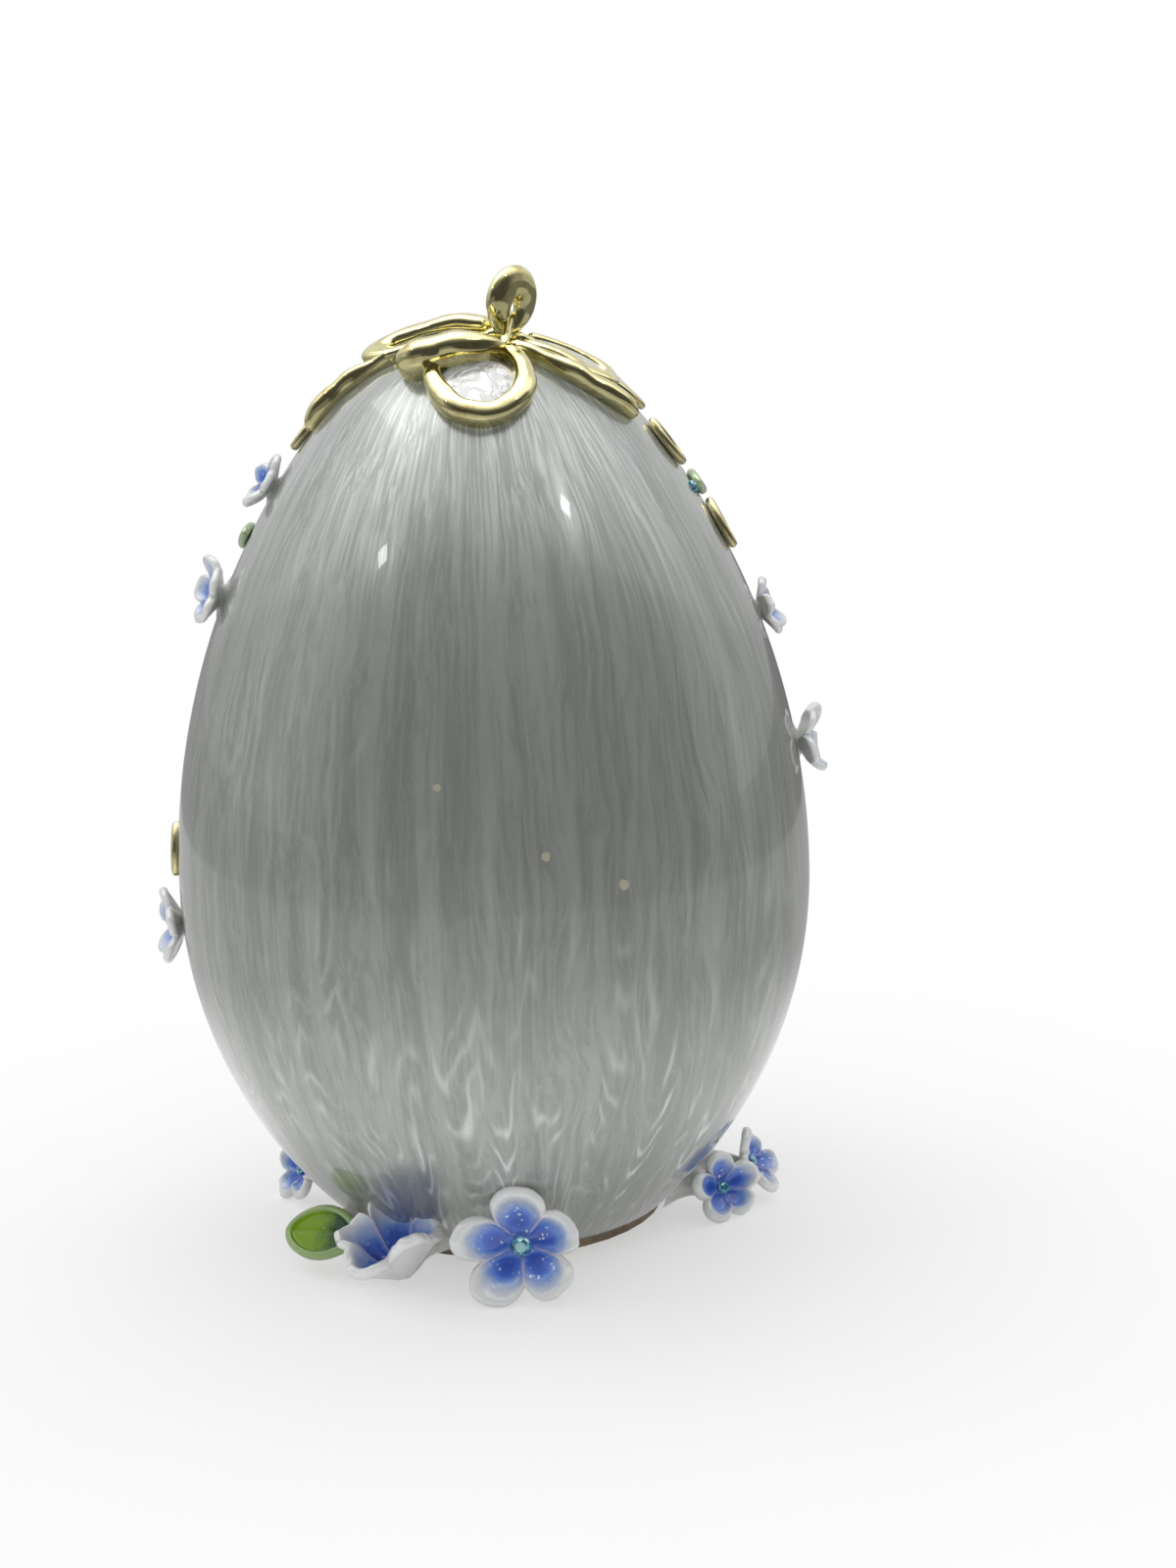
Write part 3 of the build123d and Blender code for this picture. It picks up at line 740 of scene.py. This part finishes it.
# %% Petal enamel
petal, petal_shader, place = material_tree("petal_enamel")
heart, back, ridge = (read_back(place, name) for name in ("heart", "back", "ridge"))
cloud = place.noise(900, 3.0, 0.6) - 0.5
spread = heart + cloud * 0.16 + back
blue = spread.node("ShaderNodeValToRGB", {"Fac": spread}, stops=[
    (0.06, (0.018, 0.075, 0.46)), (0.20, (0.040, 0.135, 0.62)), (0.31, (0.17, 0.31, 0.74)),
    (0.41, (0.50, 0.59, 0.77)), (0.52, (0.74, 0.76, 0.77)), (0.80, (0.82, 0.83, 0.82)),
])
blush = (ridge * (1 - back) * 0.55).mixed(blue, (0.72, 0.60, 0.66))
speck = place.node("ShaderNodeTexVoronoi", {"Vector": place, "Scale": 4200.0}, "Color")
chance, _, _ = speck.parts()
glitter = chance.maths("GREATER_THAN", 0.972) * spread.step(0.34, 0.46, 1.0, 0.0)
enamel = (glitter * 0.7).mixed(blush, (0.80, 0.90, 1.0))
feed(
    petal_shader,
    Base_Color=enamel,
    Metallic=glitter * 0.4 + 0.04,
    Roughness=0.30 - glitter * 0.12 + cloud * 0.08,
    Coat_Weight=1.0,
    Coat_Roughness=0.04,
    Normal=bump(place.noise(1500), 0.00008, 0.5),
)

# %% [markdown]
# ## Five-petalled flowers
# Each flower was cast in one piece and enamelled. Its five petals are shallow cups with thick rolled
# rims, and neighbours meet in a narrow raised seam. One grid makes the whole skin: its columns go
# round the flower and its rows run from the hub out over the face, round the rim and back along the
# underside. The outline is that of five round petals. A random number for each petal tilts and
# lengthens it a little, another sets how deep each gap between two is, and slow noise ruffles the
# edge, so that no two flowers are alike.

# %% Flower tree
def rolled_rim(over):
    """How far out a row of a cast skin lies, and its half turn round the rim to the underside."""
    face_end, rim_end = 0.56, 0.74
    out_share = (over / face_end).least(1.0) - ((over - rim_end) / (1 - rim_end)).most(0.0)
    return out_share, ((over - face_end) / (rim_end - face_end)).most(0.0).least(1.0) * pi


petal_count = 5
flower_tree, size, start = shape_tree("flower_rule", {
    "Radius": 7.0 * MM, "Cup": 0.4, "Thickness": 1.2 * MM, "Turn": 0.0, "Seed": 0,
    "Reach share": 0.46, "Hub share": 0.20, "Dish share": 0.11, "Seam share": 0.06,
    "Rim share": 0.045, "Notch share": 0.20, "Tilt": 0.22, "Length change": 0.11, "Ruffle": 0.07,
    "Columns": 140, "Rows": 34,
})
grid, turned, over = wound_grid(start, size)
sector = 2 * pi / petal_count
number = (turned / sector + 0.0001).maths("FLOOR")
lean = turned - (number + 0.5) * sector
wrapped = number.maths("MODULO", petal_count)
aside = (lean / (sector / 2)).absolute()
bulge = (lean * (petal_count / 2)).cosine().most(0.0)


def chance_of(number, offset):
    """Random number from 0 to 1 of this petal or gap."""
    place = start.vector(number, size["Seed"], offset)
    return start.node("ShaderNodeTexWhiteNoise", {"Vector": place}, "Value", noise_dimensions="3D")


tilt = size["Cup"] + (chance_of(wrapped, 1.0) * 2 - 1) * size["Tilt"] * bulge
length = size["Radius"] * (1.0 + (chance_of(wrapped, 2.0) * 2 - 1) * size["Length change"] * bulge)
reach = length * size["Reach share"]
petal_size = length - reach
sideways = reach * lean.sine()
outline = reach * lean.cosine() + (petal_size * petal_size - sideways * sideways).maths("SQRT")
between = (turned / sector + 0.5).maths("FLOOR").maths("MODULO", petal_count)
notch = size["Notch share"] * (0.35 + chance_of(between, 7.0) * 1.3)
edge_place = start.vector(turned.cosine() * 2.2, turned.sine() * 2.2, size["Seed"] * 3.7)
ruffle = (edge_place.noise(1.0) - 0.5) * size["Ruffle"] * 2
outline = outline * (1 + ruffle - notch * aside ** 5)
out_share, round_turn = rolled_rim(over)
edge = size["Thickness"] * 0.75
distance = out_share * (outline - edge)
from_heart = ((distance * lean.cosine() - reach) ** 2 + (distance * lean.sine()) ** 2) ** 0.5
hub = size["Radius"] * size["Hub share"]
cone = (distance - hub).most(0.0) * tilt.maths("TANGENT")
dish = (from_heart / petal_size).step(0.25, 0.95, -1.0, 0.0) * size["Radius"] * size["Dish share"]
to_seam = distance * (sector / 2 - lean.absolute()).sine()
seam = (to_seam / (size["Radius"] * 0.05)).step(0.0, 1.0, 1.0, 0.0)
seam = seam * (distance / size["Radius"]).step(0.14, 0.40)
rim = out_share.step(0.74, 0.93)
top = cone + dish + seam * size["Radius"] * size["Seam share"] + rim * size["Radius"] * size["Rim share"]
bottom = cone - size["Thickness"]
middle_level = (top + bottom) * 0.5
half = (top - bottom) * 0.5
level = middle_level + half * round_turn.cosine()
distance = distance + edge * round_turn.sine()
heading = turned + size["Turn"]
place = start.vector(distance * heading.cosine(), distance * heading.sine(), level)
inner_heart = ((distance * lean.cosine() - reach * 0.80) ** 2
               + (distance * lean.sine() * 1.15) ** 2) ** 0.5
heart = (inner_heart / size["Radius"] * 1.1).least(distance / size["Radius"] + 0.06)
skin = stored(grid, "heart", heart)
skin = stored(skin, "back", (round_turn / pi).step(0.25, 0.6))
skin = stored(skin, "ridge", seam)
finish_tree(moved(skin, place), petal)


# %% One flower
petal_squash = Matrix.Diagonal((1.0, 0.88, 1.0, 1.0))


def flower_mesh(name, place, radius, cup, thickness, turn, seed, **more):
    """One flower, moved to its place: hub at the origin of the place and face along its Z."""
    sizes = {"Radius": radius, "Cup": radians(cup), "Thickness": thickness, "Seed": seed}
    sizes["Turn"] = radians(90 + turn - 180 / petal_count)
    mesh = grown(name, flower_tree, {**sizes, **more})
    mesh.transform(place @ petal_squash)
    return mesh


# %% [markdown]
# ## Stalks
# Behind each flower of the foot a short thick stalk of cast metal runs to the wall, and the enamel
# fills the corner where they meet. A curve with a round section that swells towards the wall makes it.

# %% Stalk tree
stem_enamel, stem_shader, place = material_tree("stem_enamel")
cloud = place.noise(500, 3.0, 0.6)
feed(
    stem_shader,
    Base_Color=cloud.step(0.35, 0.7).mixed((0.66, 0.65, 0.62), (0.80, 0.80, 0.79)),
    Metallic=0.2,
    Roughness=0.34 + cloud * 0.1,
    Coat_Weight=1.0,
    Coat_Roughness=0.05,
    Normal=bump(cloud, 0.0001, 0.5),
)

stalk_tree, size, start = shape_tree("stalk_rule", {"Radius": 2.0 * MM, "Steps": 24})
curve, swell = smooth_path(start, size)
finish_tree(swept(curve, circle(start, 24, size["Radius"]), swell), stem_enamel)


def slope_at(height):
    """Wall slope at a height below the widest one."""
    return -degrees(asin((widest_height - height) / lower_radius))


stalk_swells = [0.55, 0.85, 1.05, 1.6, 2.5]
least_height = base_lift + 1.7 * MM
stalk_root = 0.9 * MM


def stalk_mesh(name, start, radius):
    """Stalk from the back of a piece to the wall beside it."""
    azimuth = degrees(atan2(start.x, -start.y))
    end = on_wall(azimuth, slope_at(max(start.z, least_height)), -stalk_root)
    points = [start.lerp(end, share) for share in (0, 0.25, 0.5, 0.75, 1)]
    return grown(name, stalk_tree, {"Radius": radius}, path_mesh(name, points, stalk_swells))


# %% Flowers of the foot
foot_thickness = 1.2 * MM
ground_off = 0.15 * MM
flower_stalk, leaf_stalk = 1.7 * MM, 1.4 * MM
behind_hub = 1.1 * foot_thickness
big_stone, small_stone = 1.15 * MM, 0.75 * MM
big, cupped, pair = 7.2 * MM, 6.6 * MM, 4.7 * MM
uneven = {"Tilt": 0.42, "Length change": 0.15, "Ruffle": 0.15, "Rim share": 0.07}
foot_flowers = {
    "foot_flower_front": (5, 0.755, -3, 9, 20, 4, 0, big),
    "foot_flower_front_left": (-26, 0.70, -24, 66, 60, 20, 0.4, cupped),
    "foot_flower_right_front": (80, 0.715, 32, 24, 26, 0, 0, pair),
    "foot_flower_right_rear": (94, 0.812, 72, 32, 30, 20, 0.4, pair),
    "foot_flower_left": (-101, 0.705, -62, 26, 20, 10, 0, pair),
    "foot_flower_rear": (176, 0.775, 180, 14, 24, 0, 0, big),
    "foot_flower_rear_right": (142, 0.70, 140, 66, 60, 10, 0.4, cupped),
}


def ground(mesh):
    """Flatten what would reach below the table, as the foot is ground flat."""
    for vertex in mesh.vertices:
        vertex.co.z = max(vertex.co.z, 0.0)
    return mesh


hubs = []
for seed, (name, values) in enumerate(foot_flowers.items()):
    azimuth, reach_share, heading, elevation, cup, turn, lift_share, radius = values
    face = outward(heading, elevation)
    hub = outward(azimuth) * (egg_radius * reach_share)
    place = placed(hub, outward(heading + 90), face)
    change = uneven if radius == cupped else {}
    blossom = flower_mesh(name, place, radius, cup, foot_thickness, turn, seed, **change)
    lowest = min(vertex.co.z for vertex in blossom.vertices)
    lift = Vector((0, 0, base_lift * lift_share - lowest - ground_off))
    blossom.transform(Matrix.Translation(lift))
    stem = stalk_mesh(name + "_stalk", hub + lift - face * behind_hub, flower_stalk)
    piece(name + "_petals", [ground(blossom), ground(stem)], [name])
    hubs.append((hub + lift, face, big_stone if radius > pair else small_stone))
    print(name, "hub (mm):", [round(value / MM, 1) for value in hub + lift])

# %% [markdown]
# ## Flowers of the garland
# Smaller flowers lie on the wall, and those at the egg's edges turn a little towards the front. The
# enamel round each hub was laid on together with the wall's, so a low skirt of it runs from the
# flower onto the wall. The skirt is a stalk that is short and wide.

# %% Garland flowers
garland_thickness = 0.9 * MM
garland_cup = 28
joint = 0.05 * MM
turned_in, side_end = 0.88, 100
skirt_depths = [0.5 * MM, 0.8 * MM, 1.1 * MM, 1.5 * MM]
skirt_swells = [0.28, 0.38, 0.56, 0.80]
blossom_size, bud_size = 4.7 * MM, 3.8 * MM
garland_flowers = {
    "garland_flower_left_top": (-86, 32.4, 0, bud_size),
    "garland_flower_left_upper": (-84, 23.2, 20, blossom_size),
    "garland_flower_left_low": (-88, -5.2, 0, blossom_size),
    "garland_flower_right_upper": (95, 20.4, 0, bud_size),
    "garland_flower_right_low": (91, 9.7, 30, blossom_size),
    "garland_flower_rear_upper": (-150, 29.0, 0, blossom_size),
    "garland_flower_rear_middle": (176, 20.0, 20, blossom_size),
    "garland_flower_rear_low": (138, 14.0, 0, blossom_size),
}
for seed, (name, (azimuth, slope, turn, radius)) in enumerate(garland_flowers.items()):
    face = outward(azimuth * turned_in if abs(azimuth) < side_end else azimuth, slope)
    hub = on_wall(azimuth, slope, garland_thickness + joint)
    place = placed(hub, outward(azimuth + 90), face)
    blossom = flower_mesh(name, place, radius, garland_cup, garland_thickness, turn, 20 + seed)
    path = path_mesh(name, [hub - face * depth for depth in skirt_depths], skirt_swells)
    skirt = grown(name + "_skirt", stalk_tree, {"Radius": radius}, path)
    piece(name + "_petals", [blossom, skirt], [name])
    hubs.append((hub, face, small_stone))

# %% [markdown]
# ## Leaves
# A leaf is a flat cast blade with a raised rim, and the enamel was poured into the sunk face. The two
# leaves at the foot run from deep green by the stem to a yellow green at the tip, with a pale rim.
# The small ones of the garland are gold, some with a green face. The rule is the flower's with a
# simpler outline, and it stores where the rim is and how near a point lies to the tip.


# %% Leaf enamels
def leaf_enamel(name, root, tip, rim_colour, rim_metal, face_metal=0.04):
    """Enamel that runs from one colour to another inside a rim of a third."""
    material, shader, place = material_tree(name)
    rim, toward_tip = (read_back(place, stored_name) for stored_name in ("rim", "toward_tip"))
    cloud = place.noise(700, 3.0, 0.6)
    blend = (toward_tip * 0.8 + 0.55 + (cloud - 0.5) * 0.7).step(0.15, 0.75)
    face = blend.mixed(root, tip)
    rim_mask = (rim + (cloud - 0.5) * 0.25).step(0.55, 0.75)
    feed(
        shader,
        Base_Color=rim_mask.mixed(face, rim_colour),
        Metallic=rim_mask * (rim_metal - face_metal) + face_metal,
        Roughness=0.16 + cloud * 0.16,
        Specular_IOR_Level=0.2,
        Coat_Weight=0.5,
        Coat_Roughness=0.04,
        Normal=bump(cloud, 0.00012, 0.5),
    )
    return material


foot_leaf_enamel = leaf_enamel(
    "foot_leaf_enamel", (0.004, 0.045, 0.016), (0.17, 0.31, 0.0), (0.30, 0.42, 0.18), 0.1
)
green_leaf_enamel = leaf_enamel(
    "green_leaf_enamel", (0.01, 0.15, 0.07), (0.04, 0.30, 0.10), (0.50, 0.62, 0.40), 0.4
)
gold_leaf_enamel = leaf_enamel(
    "gold_leaf", (0.55, 0.42, 0.16), (0.86, 0.74, 0.36), (0.86, 0.76, 0.42), 1.0, 1.0
)

# %% Leaf tree
leaf_tree, size, start = shape_tree("leaf_rule", {
    "Length": 9.6 * MM, "Width": 5.4 * MM, "Thickness": 1.3 * MM, "Rim": 0.38 * MM, "Recess": 0.35 * MM,
    "Point": 0.12, "Droop": 0.0, "Columns": 96, "Rows": 30,
})
grid, turned, over = wound_grid(start, size)
out_share, round_turn = rolled_rim(over)
edge = size["Thickness"] * 0.45
half_length = size["Length"] * 0.5
half_width = size["Width"] * 0.5
level_cos = turned.cosine()
level_sin = turned.sine()
narrowing = 1 - size["Point"] * (level_cos * level_cos) * 2 + size["Point"]
rolled = edge * round_turn.sine()
reach_x = (half_length - edge) * level_cos * out_share + rolled * level_cos
reach_y = (half_width - edge) * level_sin * narrowing * out_share + rolled * level_sin
from_edge = (1 - out_share) * half_width
rim = (from_edge / size["Rim"]).step(0.6, 1.35, 1.0, 0.0)
groove = (reach_y / (0.6 * MM)).absolute().step(0.0, 1.0) * 0.10 - 0.10
top = size["Thickness"] - size["Recess"] * (1 - rim) * (1 - groove)
level = top * 0.5 + top * 0.5 * round_turn.cosine()
level = level - size["Droop"] * (reach_x / half_length) ** 2
place = start.vector(reach_x, reach_y, level)
skin = stored(grid, "rim", rim.most((round_turn / pi).step(0.05, 0.3)))
skin = stored(skin, "toward_tip", reach_x / half_length)
finish_tree(moved(skin, place), foot_leaf_enamel)


def leaf_mesh(name, place, material, **sizes):
    """One leaf in its enamel, moved to its place."""
    mesh = grown(name, leaf_tree, sizes)
    for number in range(len(mesh.materials)):
        mesh.materials[number] = material
    mesh.transform(place)
    return mesh


# %% Leaves in their places
leaf_joint = 0.02 * MM
inside_leaf = Vector((0, 0, 0.4 * MM))
foot_leaf_sizes = {"Length": 9.9 * MM, "Width": 5.9 * MM, "Rim": 0.30 * MM, "Droop": 0.25 * MM}
garland_leaf_sizes = {
    "Length": 6.4 * MM, "Width": 3.0 * MM, "Thickness": 1.0 * MM, "Rim": 0.32 * MM, "Recess": 0.25 * MM,
}
foot_leaves = {
    "foot_leaf_front_left": (-48, 0.735, 0.040, -116, 6, -50),
    "foot_leaf_rear_left": (-155, 0.725, 0.043, 137, 8, -48),
}
for name, (azimuth, reach_share, height_share, heading, dip, roll) in foot_leaves.items():
    middle = outward(azimuth) * (egg_radius * reach_share) + Vector((0, 0, egg_top * height_share))
    place = placed(middle, outward(heading, -dip), outward(heading, 90 - dip))
    place = place @ Matrix.Rotation(radians(roll), 4, "X")
    blade = leaf_mesh(name, place, foot_leaf_enamel, **foot_leaf_sizes)
    stem = stalk_mesh(name + "_stalk", place @ inside_leaf, leaf_stalk)
    piece(name + "_blade", [ground(blade), ground(stem)], [name])

garland_leaves = {
    "garland_gold_leaf_left": (-88, 37.8, 15),
    "garland_green_leaf_left": (-93, 28.0, 100),
    "garland_gold_leaf_left_low": (-88, 2.7, 10),
    "garland_gold_leaf_right_top": (82, 35.6, 10),
    "garland_green_leaf_right": (92, 31.7, 90),
    "garland_gold_leaf_right": (86, 28.2, 170),
    "garland_green_leaf_rear": (-166, 24.5, 120),
    "garland_gold_leaf_rear": (157, 16.8, 60),
}
for name, (azimuth, slope, turn) in garland_leaves.items():
    place = placed(on_wall(azimuth, slope, leaf_joint), outward(azimuth + 90), outward(azimuth, slope))
    place = place @ Matrix.Rotation(radians(turn + 90), 4, "Z")
    material, slot = (gold_leaf_enamel, "gold") if "gold" in name else (green_leaf_enamel, "leaf_enamel")
    blade = leaf_mesh(name, place, material, **garland_leaf_sizes)
    piece(name + "_blade", [blade], [name])

# %% [markdown]
# ## Rhinestones
# A small glued rhinestone sits in the heart of every flower: aqua glass with a mirror behind it. Its
# facets are cut here as the convex hull of the stone's corners, once. Geometry Nodes then put a copy
# on every hub, turned to the flower's face and scaled to the stone's size, and give each facet a
# random number that tints it from dark to bright aqua: painted sparkle, which reads as the glints of
# cut glass from any side.

# %% Crystal glass
aqua, aqua_shader, place = material_tree("aqua_crystal")
aqua["faceted"] = True
# Painted sparkle: each facet's random tint, dark to bright, stands for the reflections of cut glass.
facet = read_back(place, "facet")
aqua_and_painted_sparkle = facet.node("ShaderNodeValToRGB", {"Fac": facet}, stops=[
    (0.0, (0.01, 0.09, 0.16)), (0.35, (0.04, 0.26, 0.38)),
    (0.65, (0.16, 0.52, 0.62)), (1.0, (0.62, 0.86, 0.90)),
])
feed(
    aqua_shader,
    Base_Color=aqua_and_painted_sparkle,
    Metallic=facet * 0.5 + 0.3,
    Roughness=0.05,
    Coat_Weight=1.0,
    Coat_Roughness=0.02,
)


# %% Rhinestones on the hubs
def cut_stone():
    """Rhinestone of radius 1: girdle, two rows of crown facets and a table."""
    rings = [(1.0, 0.0, 16, 0), (1.0, 0.28, 16, 0), (0.82, 0.52, 8, 22.5), (0.52, 0.70, 8, 0)]
    work = bmesh.new()
    for radius, level, corners, turn in rings:
        for corner in range(corners):
            angle = radians(turn) + 2 * pi * corner / corners
            work.verts.new((radius * cos(angle), radius * sin(angle), level))
    bmesh.ops.convex_hull(work, input=work.verts)
    bmesh.ops.dissolve_limit(work, angle_limit=radians(2), verts=work.verts, edges=work.edges)
    mesh = bpy.data.meshes.new("cut_stone")
    work.to_mesh(mesh)
    work.free()
    return mesh


crystal_tree, size, start = shape_tree("crystal_rule", {"Seed": 3, "Stone": None})
shape = start.node("GeometryNodeObjectInfo", {"Object": size["Stone"]}, "Geometry")
face = named(start, "face", "FLOAT_VECTOR")
reach = named(start, "reach")
turned = start.node("FunctionNodeAlignRotationToVector", {"Vector": face}, axis="Z")
copies = start.node("GeometryNodeInstanceOnPoints", {
    "Points": size["Geometry"], "Instance": shape, "Rotation": turned,
    "Scale": start.vector(reach, reach, reach),
})
copies = copies.node("GeometryNodeRealizeInstances", {"Geometry": copies})
# Each face's random number is its painted sparkle.
chance = start.node("FunctionNodeRandomValue", {"Seed": size["Seed"]}, data_type="FLOAT")
copies = stored(copies, "facet", chance, "FACE")
finish_tree(copies, aqua)


def stones(name, spots, nodes):
    """All rhinestones of one group on their hubs."""
    mesh = plain_mesh(name, [hub - face * joint for hub, face, _ in spots])
    faces = [axis for _, face, _ in spots for axis in face]
    mesh.attributes.new("face", "FLOAT_VECTOR", "POINT").data.foreach_set("vector", faces)
    reaches = [radius for _, _, radius in spots]
    mesh.attributes.new("reach", "FLOAT", "POINT").data.foreach_set("value", reaches)
    template = add_object(name + "_template", cut_stone())
    cut = grown(name, crystal_tree, {"Stone": template}, mesh)
    bpy.data.objects.remove(template)
    return piece(name + "_cut", [cut], nodes)


lone_stone = (on_wall(81, 31.7, joint), outward(81, 31.7), small_stone)
stones("foot_crystals", hubs[:len(foot_flowers)], ["foot_crystals"])
stones("garland_crystals", hubs[len(foot_flowers):] + [lone_stone], ["garland_crystals"])

# %% [markdown]
# ## Enamel inside the bow
# The loops on the right hold a pool of the same pearl enamel, and so do the ring and the corner
# between it and the left loop. A pool is a low domed skin between the ribbons: rings of points shrink
# from the outline to the middle and rise.


# %% Pools of enamel in the bow
def pool_mesh(name, plan, edge_lift, dome):
    """Domed closed skin over the crown inside an outline of plan places."""
    count, ring_count, skirt = len(plan), 9, 0.4 * MM
    centre = [sum(axis) / count for axis in zip(*plan)]
    rings = [(1.0, -skirt)] + [(1 - step / ring_count, edge_lift) for step in range(ring_count)]
    points = []
    for share, lift in rings:
        for spot in plan:
            inner = [middle + (edge - middle) * share for edge, middle in zip(spot, centre)]
            points.append(on_crown(inner, lift + dome * (1 - share**2)))
    points.append(on_crown(centre, edge_lift + dome))
    last = ring_count * count
    faces = [tuple(range(count))[::-1]]
    for number in range(count):
        after = (number + 1) % count
        faces += [(low + number, low + after, low + count + after, low + count + number)
                  for low in range(0, last, count)]
        faces.append((last + number, last + after, len(points) - 1))
    mesh = plain_mesh(name, points, faces=faces)
    mesh.materials.append(pool_pearl)
    return tidied(mesh)


pool_pearl, pool_shader, place = material_tree("pool_enamel")
swirl = place.noise(300, 2.0, 0.5, 2.4)
folds = ((swirl * 26).sine() * 0.5 + 0.5) ** 2
feed(
    pool_shader,
    Base_Color=(folds * 0.6 + swirl.step(0.4, 0.62) * 0.4).mixed((0.50, 0.50, 0.50), (0.80, 0.81, 0.81)),
    Metallic=0.3,
    Roughness=0.30 - swirl * 0.1,
    Coat_Weight=1.0,
    Coat_Roughness=0.03,
    Normal=bump(swirl + folds * 0.08, 0.0004, 0.6),
)
ring_plan_closed = [
    (0.027 + 0.185 * cos(2 * pi * step / 28), -0.595 + 0.155 * sin(2 * pi * step / 28)) for step in range(28)
]
left_plan = [
    (0.07, -0.16), (-0.05, -0.175), (-0.17, -0.18), (-0.28, -0.185), (-0.34, -0.19), (-0.33, -0.25),
    (-0.29, -0.32), (-0.22, -0.37), (-0.13, -0.39), (-0.04, -0.38), (0.04, -0.34), (0.08, -0.26),
]
piece("bow_enamel_pools", [
    pool_mesh("right_pool", loop_plan(*loops["bow_right_loop"]), 1.05 * MM, 0.15 * MM),
    pool_mesh("rear_pool", loop_plan(*loops["bow_rear_right_loop"]), 0.95 * MM, 0.25 * MM),
    pool_mesh("ring_pool", ring_plan_closed, 0.55 * MM, 0.35 * MM),
    pool_mesh("left_pool", left_plan, 0.25 * MM, 0.5 * MM),
], [])

# %% [markdown]
# ## The base plate
# The plate under the egg keeps its CAD shape. It is bare cast metal, browned, and slightly rough.

# %% Base metal
base_metal, base_shader, place = material_tree("browned_base_metal")
grain = place.noise(1400, 4.0, 0.6)
patch = place.noise(160)
feed(
    base_shader,
    Base_Color=(patch * 0.6 + grain * 0.4).step(0.35, 0.65).mixed((0.13, 0.10, 0.07), (0.30, 0.24, 0.17)),
    Metallic=0.9,
    Roughness=grain.step(0.3, 0.7, 0.35, 0.6, "LINEAR"),
    Normal=bump(grain, 0.00008, 0.6),
)
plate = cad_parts["base_plate"]
for slot in plate.material_slots:
    slot.material = base_metal

# %% [markdown]
# ## The studio
# The egg stands on a wide pale floor under a soft lamp. Two lamps at its sides light it without being
# mirrored, and two small ones give the glints on the enamel. The world is plain white to the camera.
# To reflections it is a room: dark in front, as it was behind the camera when the photograph was
# taken, bright overhead and grey behind the egg. The dark front is what makes the egg's middle grey.
# In reflections the floor glows, and its glow holds painted shade: dim right at the foot like a shadow,
# brightest in a ring round it. Further out it fades, in front and on the right most of all.

# %% Floor
def rays(start):
    """Whether the camera sees a place, and whether a glossy surface mirrors it."""
    return (start.node("ShaderNodeLightPath", result=f"Is {kind} Ray") for kind in ("Camera", "Glossy"))


floor_material, floor_shader, place = material_tree("studio_floor")
paper = place.noise(40, 3.0)
feed(floor_shader, Base_Color=paper.mixed((0.90, 0.90, 0.90), (0.94, 0.94, 0.94)), Roughness=0.9)
x, y, _ = place.parts()
from_egg = (x * x + y * y) ** 0.5
far = from_egg.step(0.04, 0.14, 0.50, 1.0)
seen, mirrored = rays(place)
# The floor's glow as mirrored is painted shade: a painted shadow at the foot, a bright ring, then darker
# further out, in front and on the right.
dimmed = from_egg.step(0.022, 0.045, 0.45, 0.92) - from_egg.step(0.05, 0.12) * 0.40
dimmed = dimmed - from_egg.step(0.30, 0.33) * 0.24 - y.step(-0.30, 0.0, 0.10, 0.0) - x.step(0.0, 0.10) * 0.12
glow = place.node("ShaderNodeEmission", {"Color": (1, 1, 1), "Strength": seen + mirrored * dimmed})
shaded = Field(floor_material.node_tree, floor_shader.outputs[0])
shown = place.node("ShaderNodeMixShader", {0: far * seen + mirrored, 1: shaded, 2: glow})
feed(floor_material.node_tree.nodes["Material Output"], Surface=shown)
reach = 6.0
corners = [(-reach, -reach, 0), (reach, -reach, 0), (reach, reach, 0), (-reach, reach, 0)]
floor_mesh = plain_mesh("studio_floor", corners, faces=[(0, 1, 2, 3)])
floor_mesh.materials.append(floor_material)
floor = add_object("studio_floor", floor_mesh)
floor.location.z = -0.2 * MM
print("floor faces:", len(floor_mesh.polygons))

# %% Lamps
aim = Vector((0, 0, 0.05))


def lamp(name, place, width, power, mirrored):
    """Square soft lamp that points at the egg, and that glossy surfaces mirror or don't."""
    data = bpy.data.lights.new(name, "AREA")
    data.shape = "SQUARE"
    data.size = width
    data.energy = power
    made = add_object(name, data)
    made.matrix_world = placed(Vector(place), Vector((1, 0.01, 0)), Vector(place) - aim)
    made.visible_glossy = mirrored


lamp("lamp_over", (-0.10, 0.10, 0.60), 0.50, 0.9, True)
lamp("lamp_left", (-0.55, 0.25, 0.30), 0.35, 0.5, False)
lamp("lamp_right", (0.50, 0.35, 0.30), 0.35, 0.4, False)
lamp("glint_left", (-0.38, -0.26, 0.50), 0.035, 0.04, True)
lamp("glint_right", (0.34, -0.20, 0.56), 0.035, 0.04, True)

# %% World
world = bpy.data.worlds.new("studio_world")
bpy.context.scene.world = world
world.use_nodes = True
start = Field(world.node_tree)
seen, mirrored = rays(start)
direction = start.node("ShaderNodeTexCoord", result="Generated")
aside, toward, level = direction.parts()
forward = aside * 0.25 - toward * 0.95
front = forward.step(-0.10, 0.60) * 0.65 + forward.step(0.02, 0.08) * 0.35
raised = level + toward * 0.5
over = raised.step(0.45, 0.78) * 0.70 + raised.step(0.46, 0.50) * 0.30
behind = toward.step(0.05, 0.55)
room = 0.48 - front * 0.42 + over * 0.80 + raised.step(0.72, 0.95) * 0.30 + level.step(0.40, 0.80) * 0.17
room = room + behind * (over * 0.36 + 0.39 - room)
strength = seen + (1 - seen) * (mirrored * room + (1 - mirrored) * 0.76)
feed(world.node_tree.nodes["Background"], Strength=strength, Color=(1, 1, 1))
bpy.context.scene.view_settings.view_transform = "Standard"
print("lamps and world made")
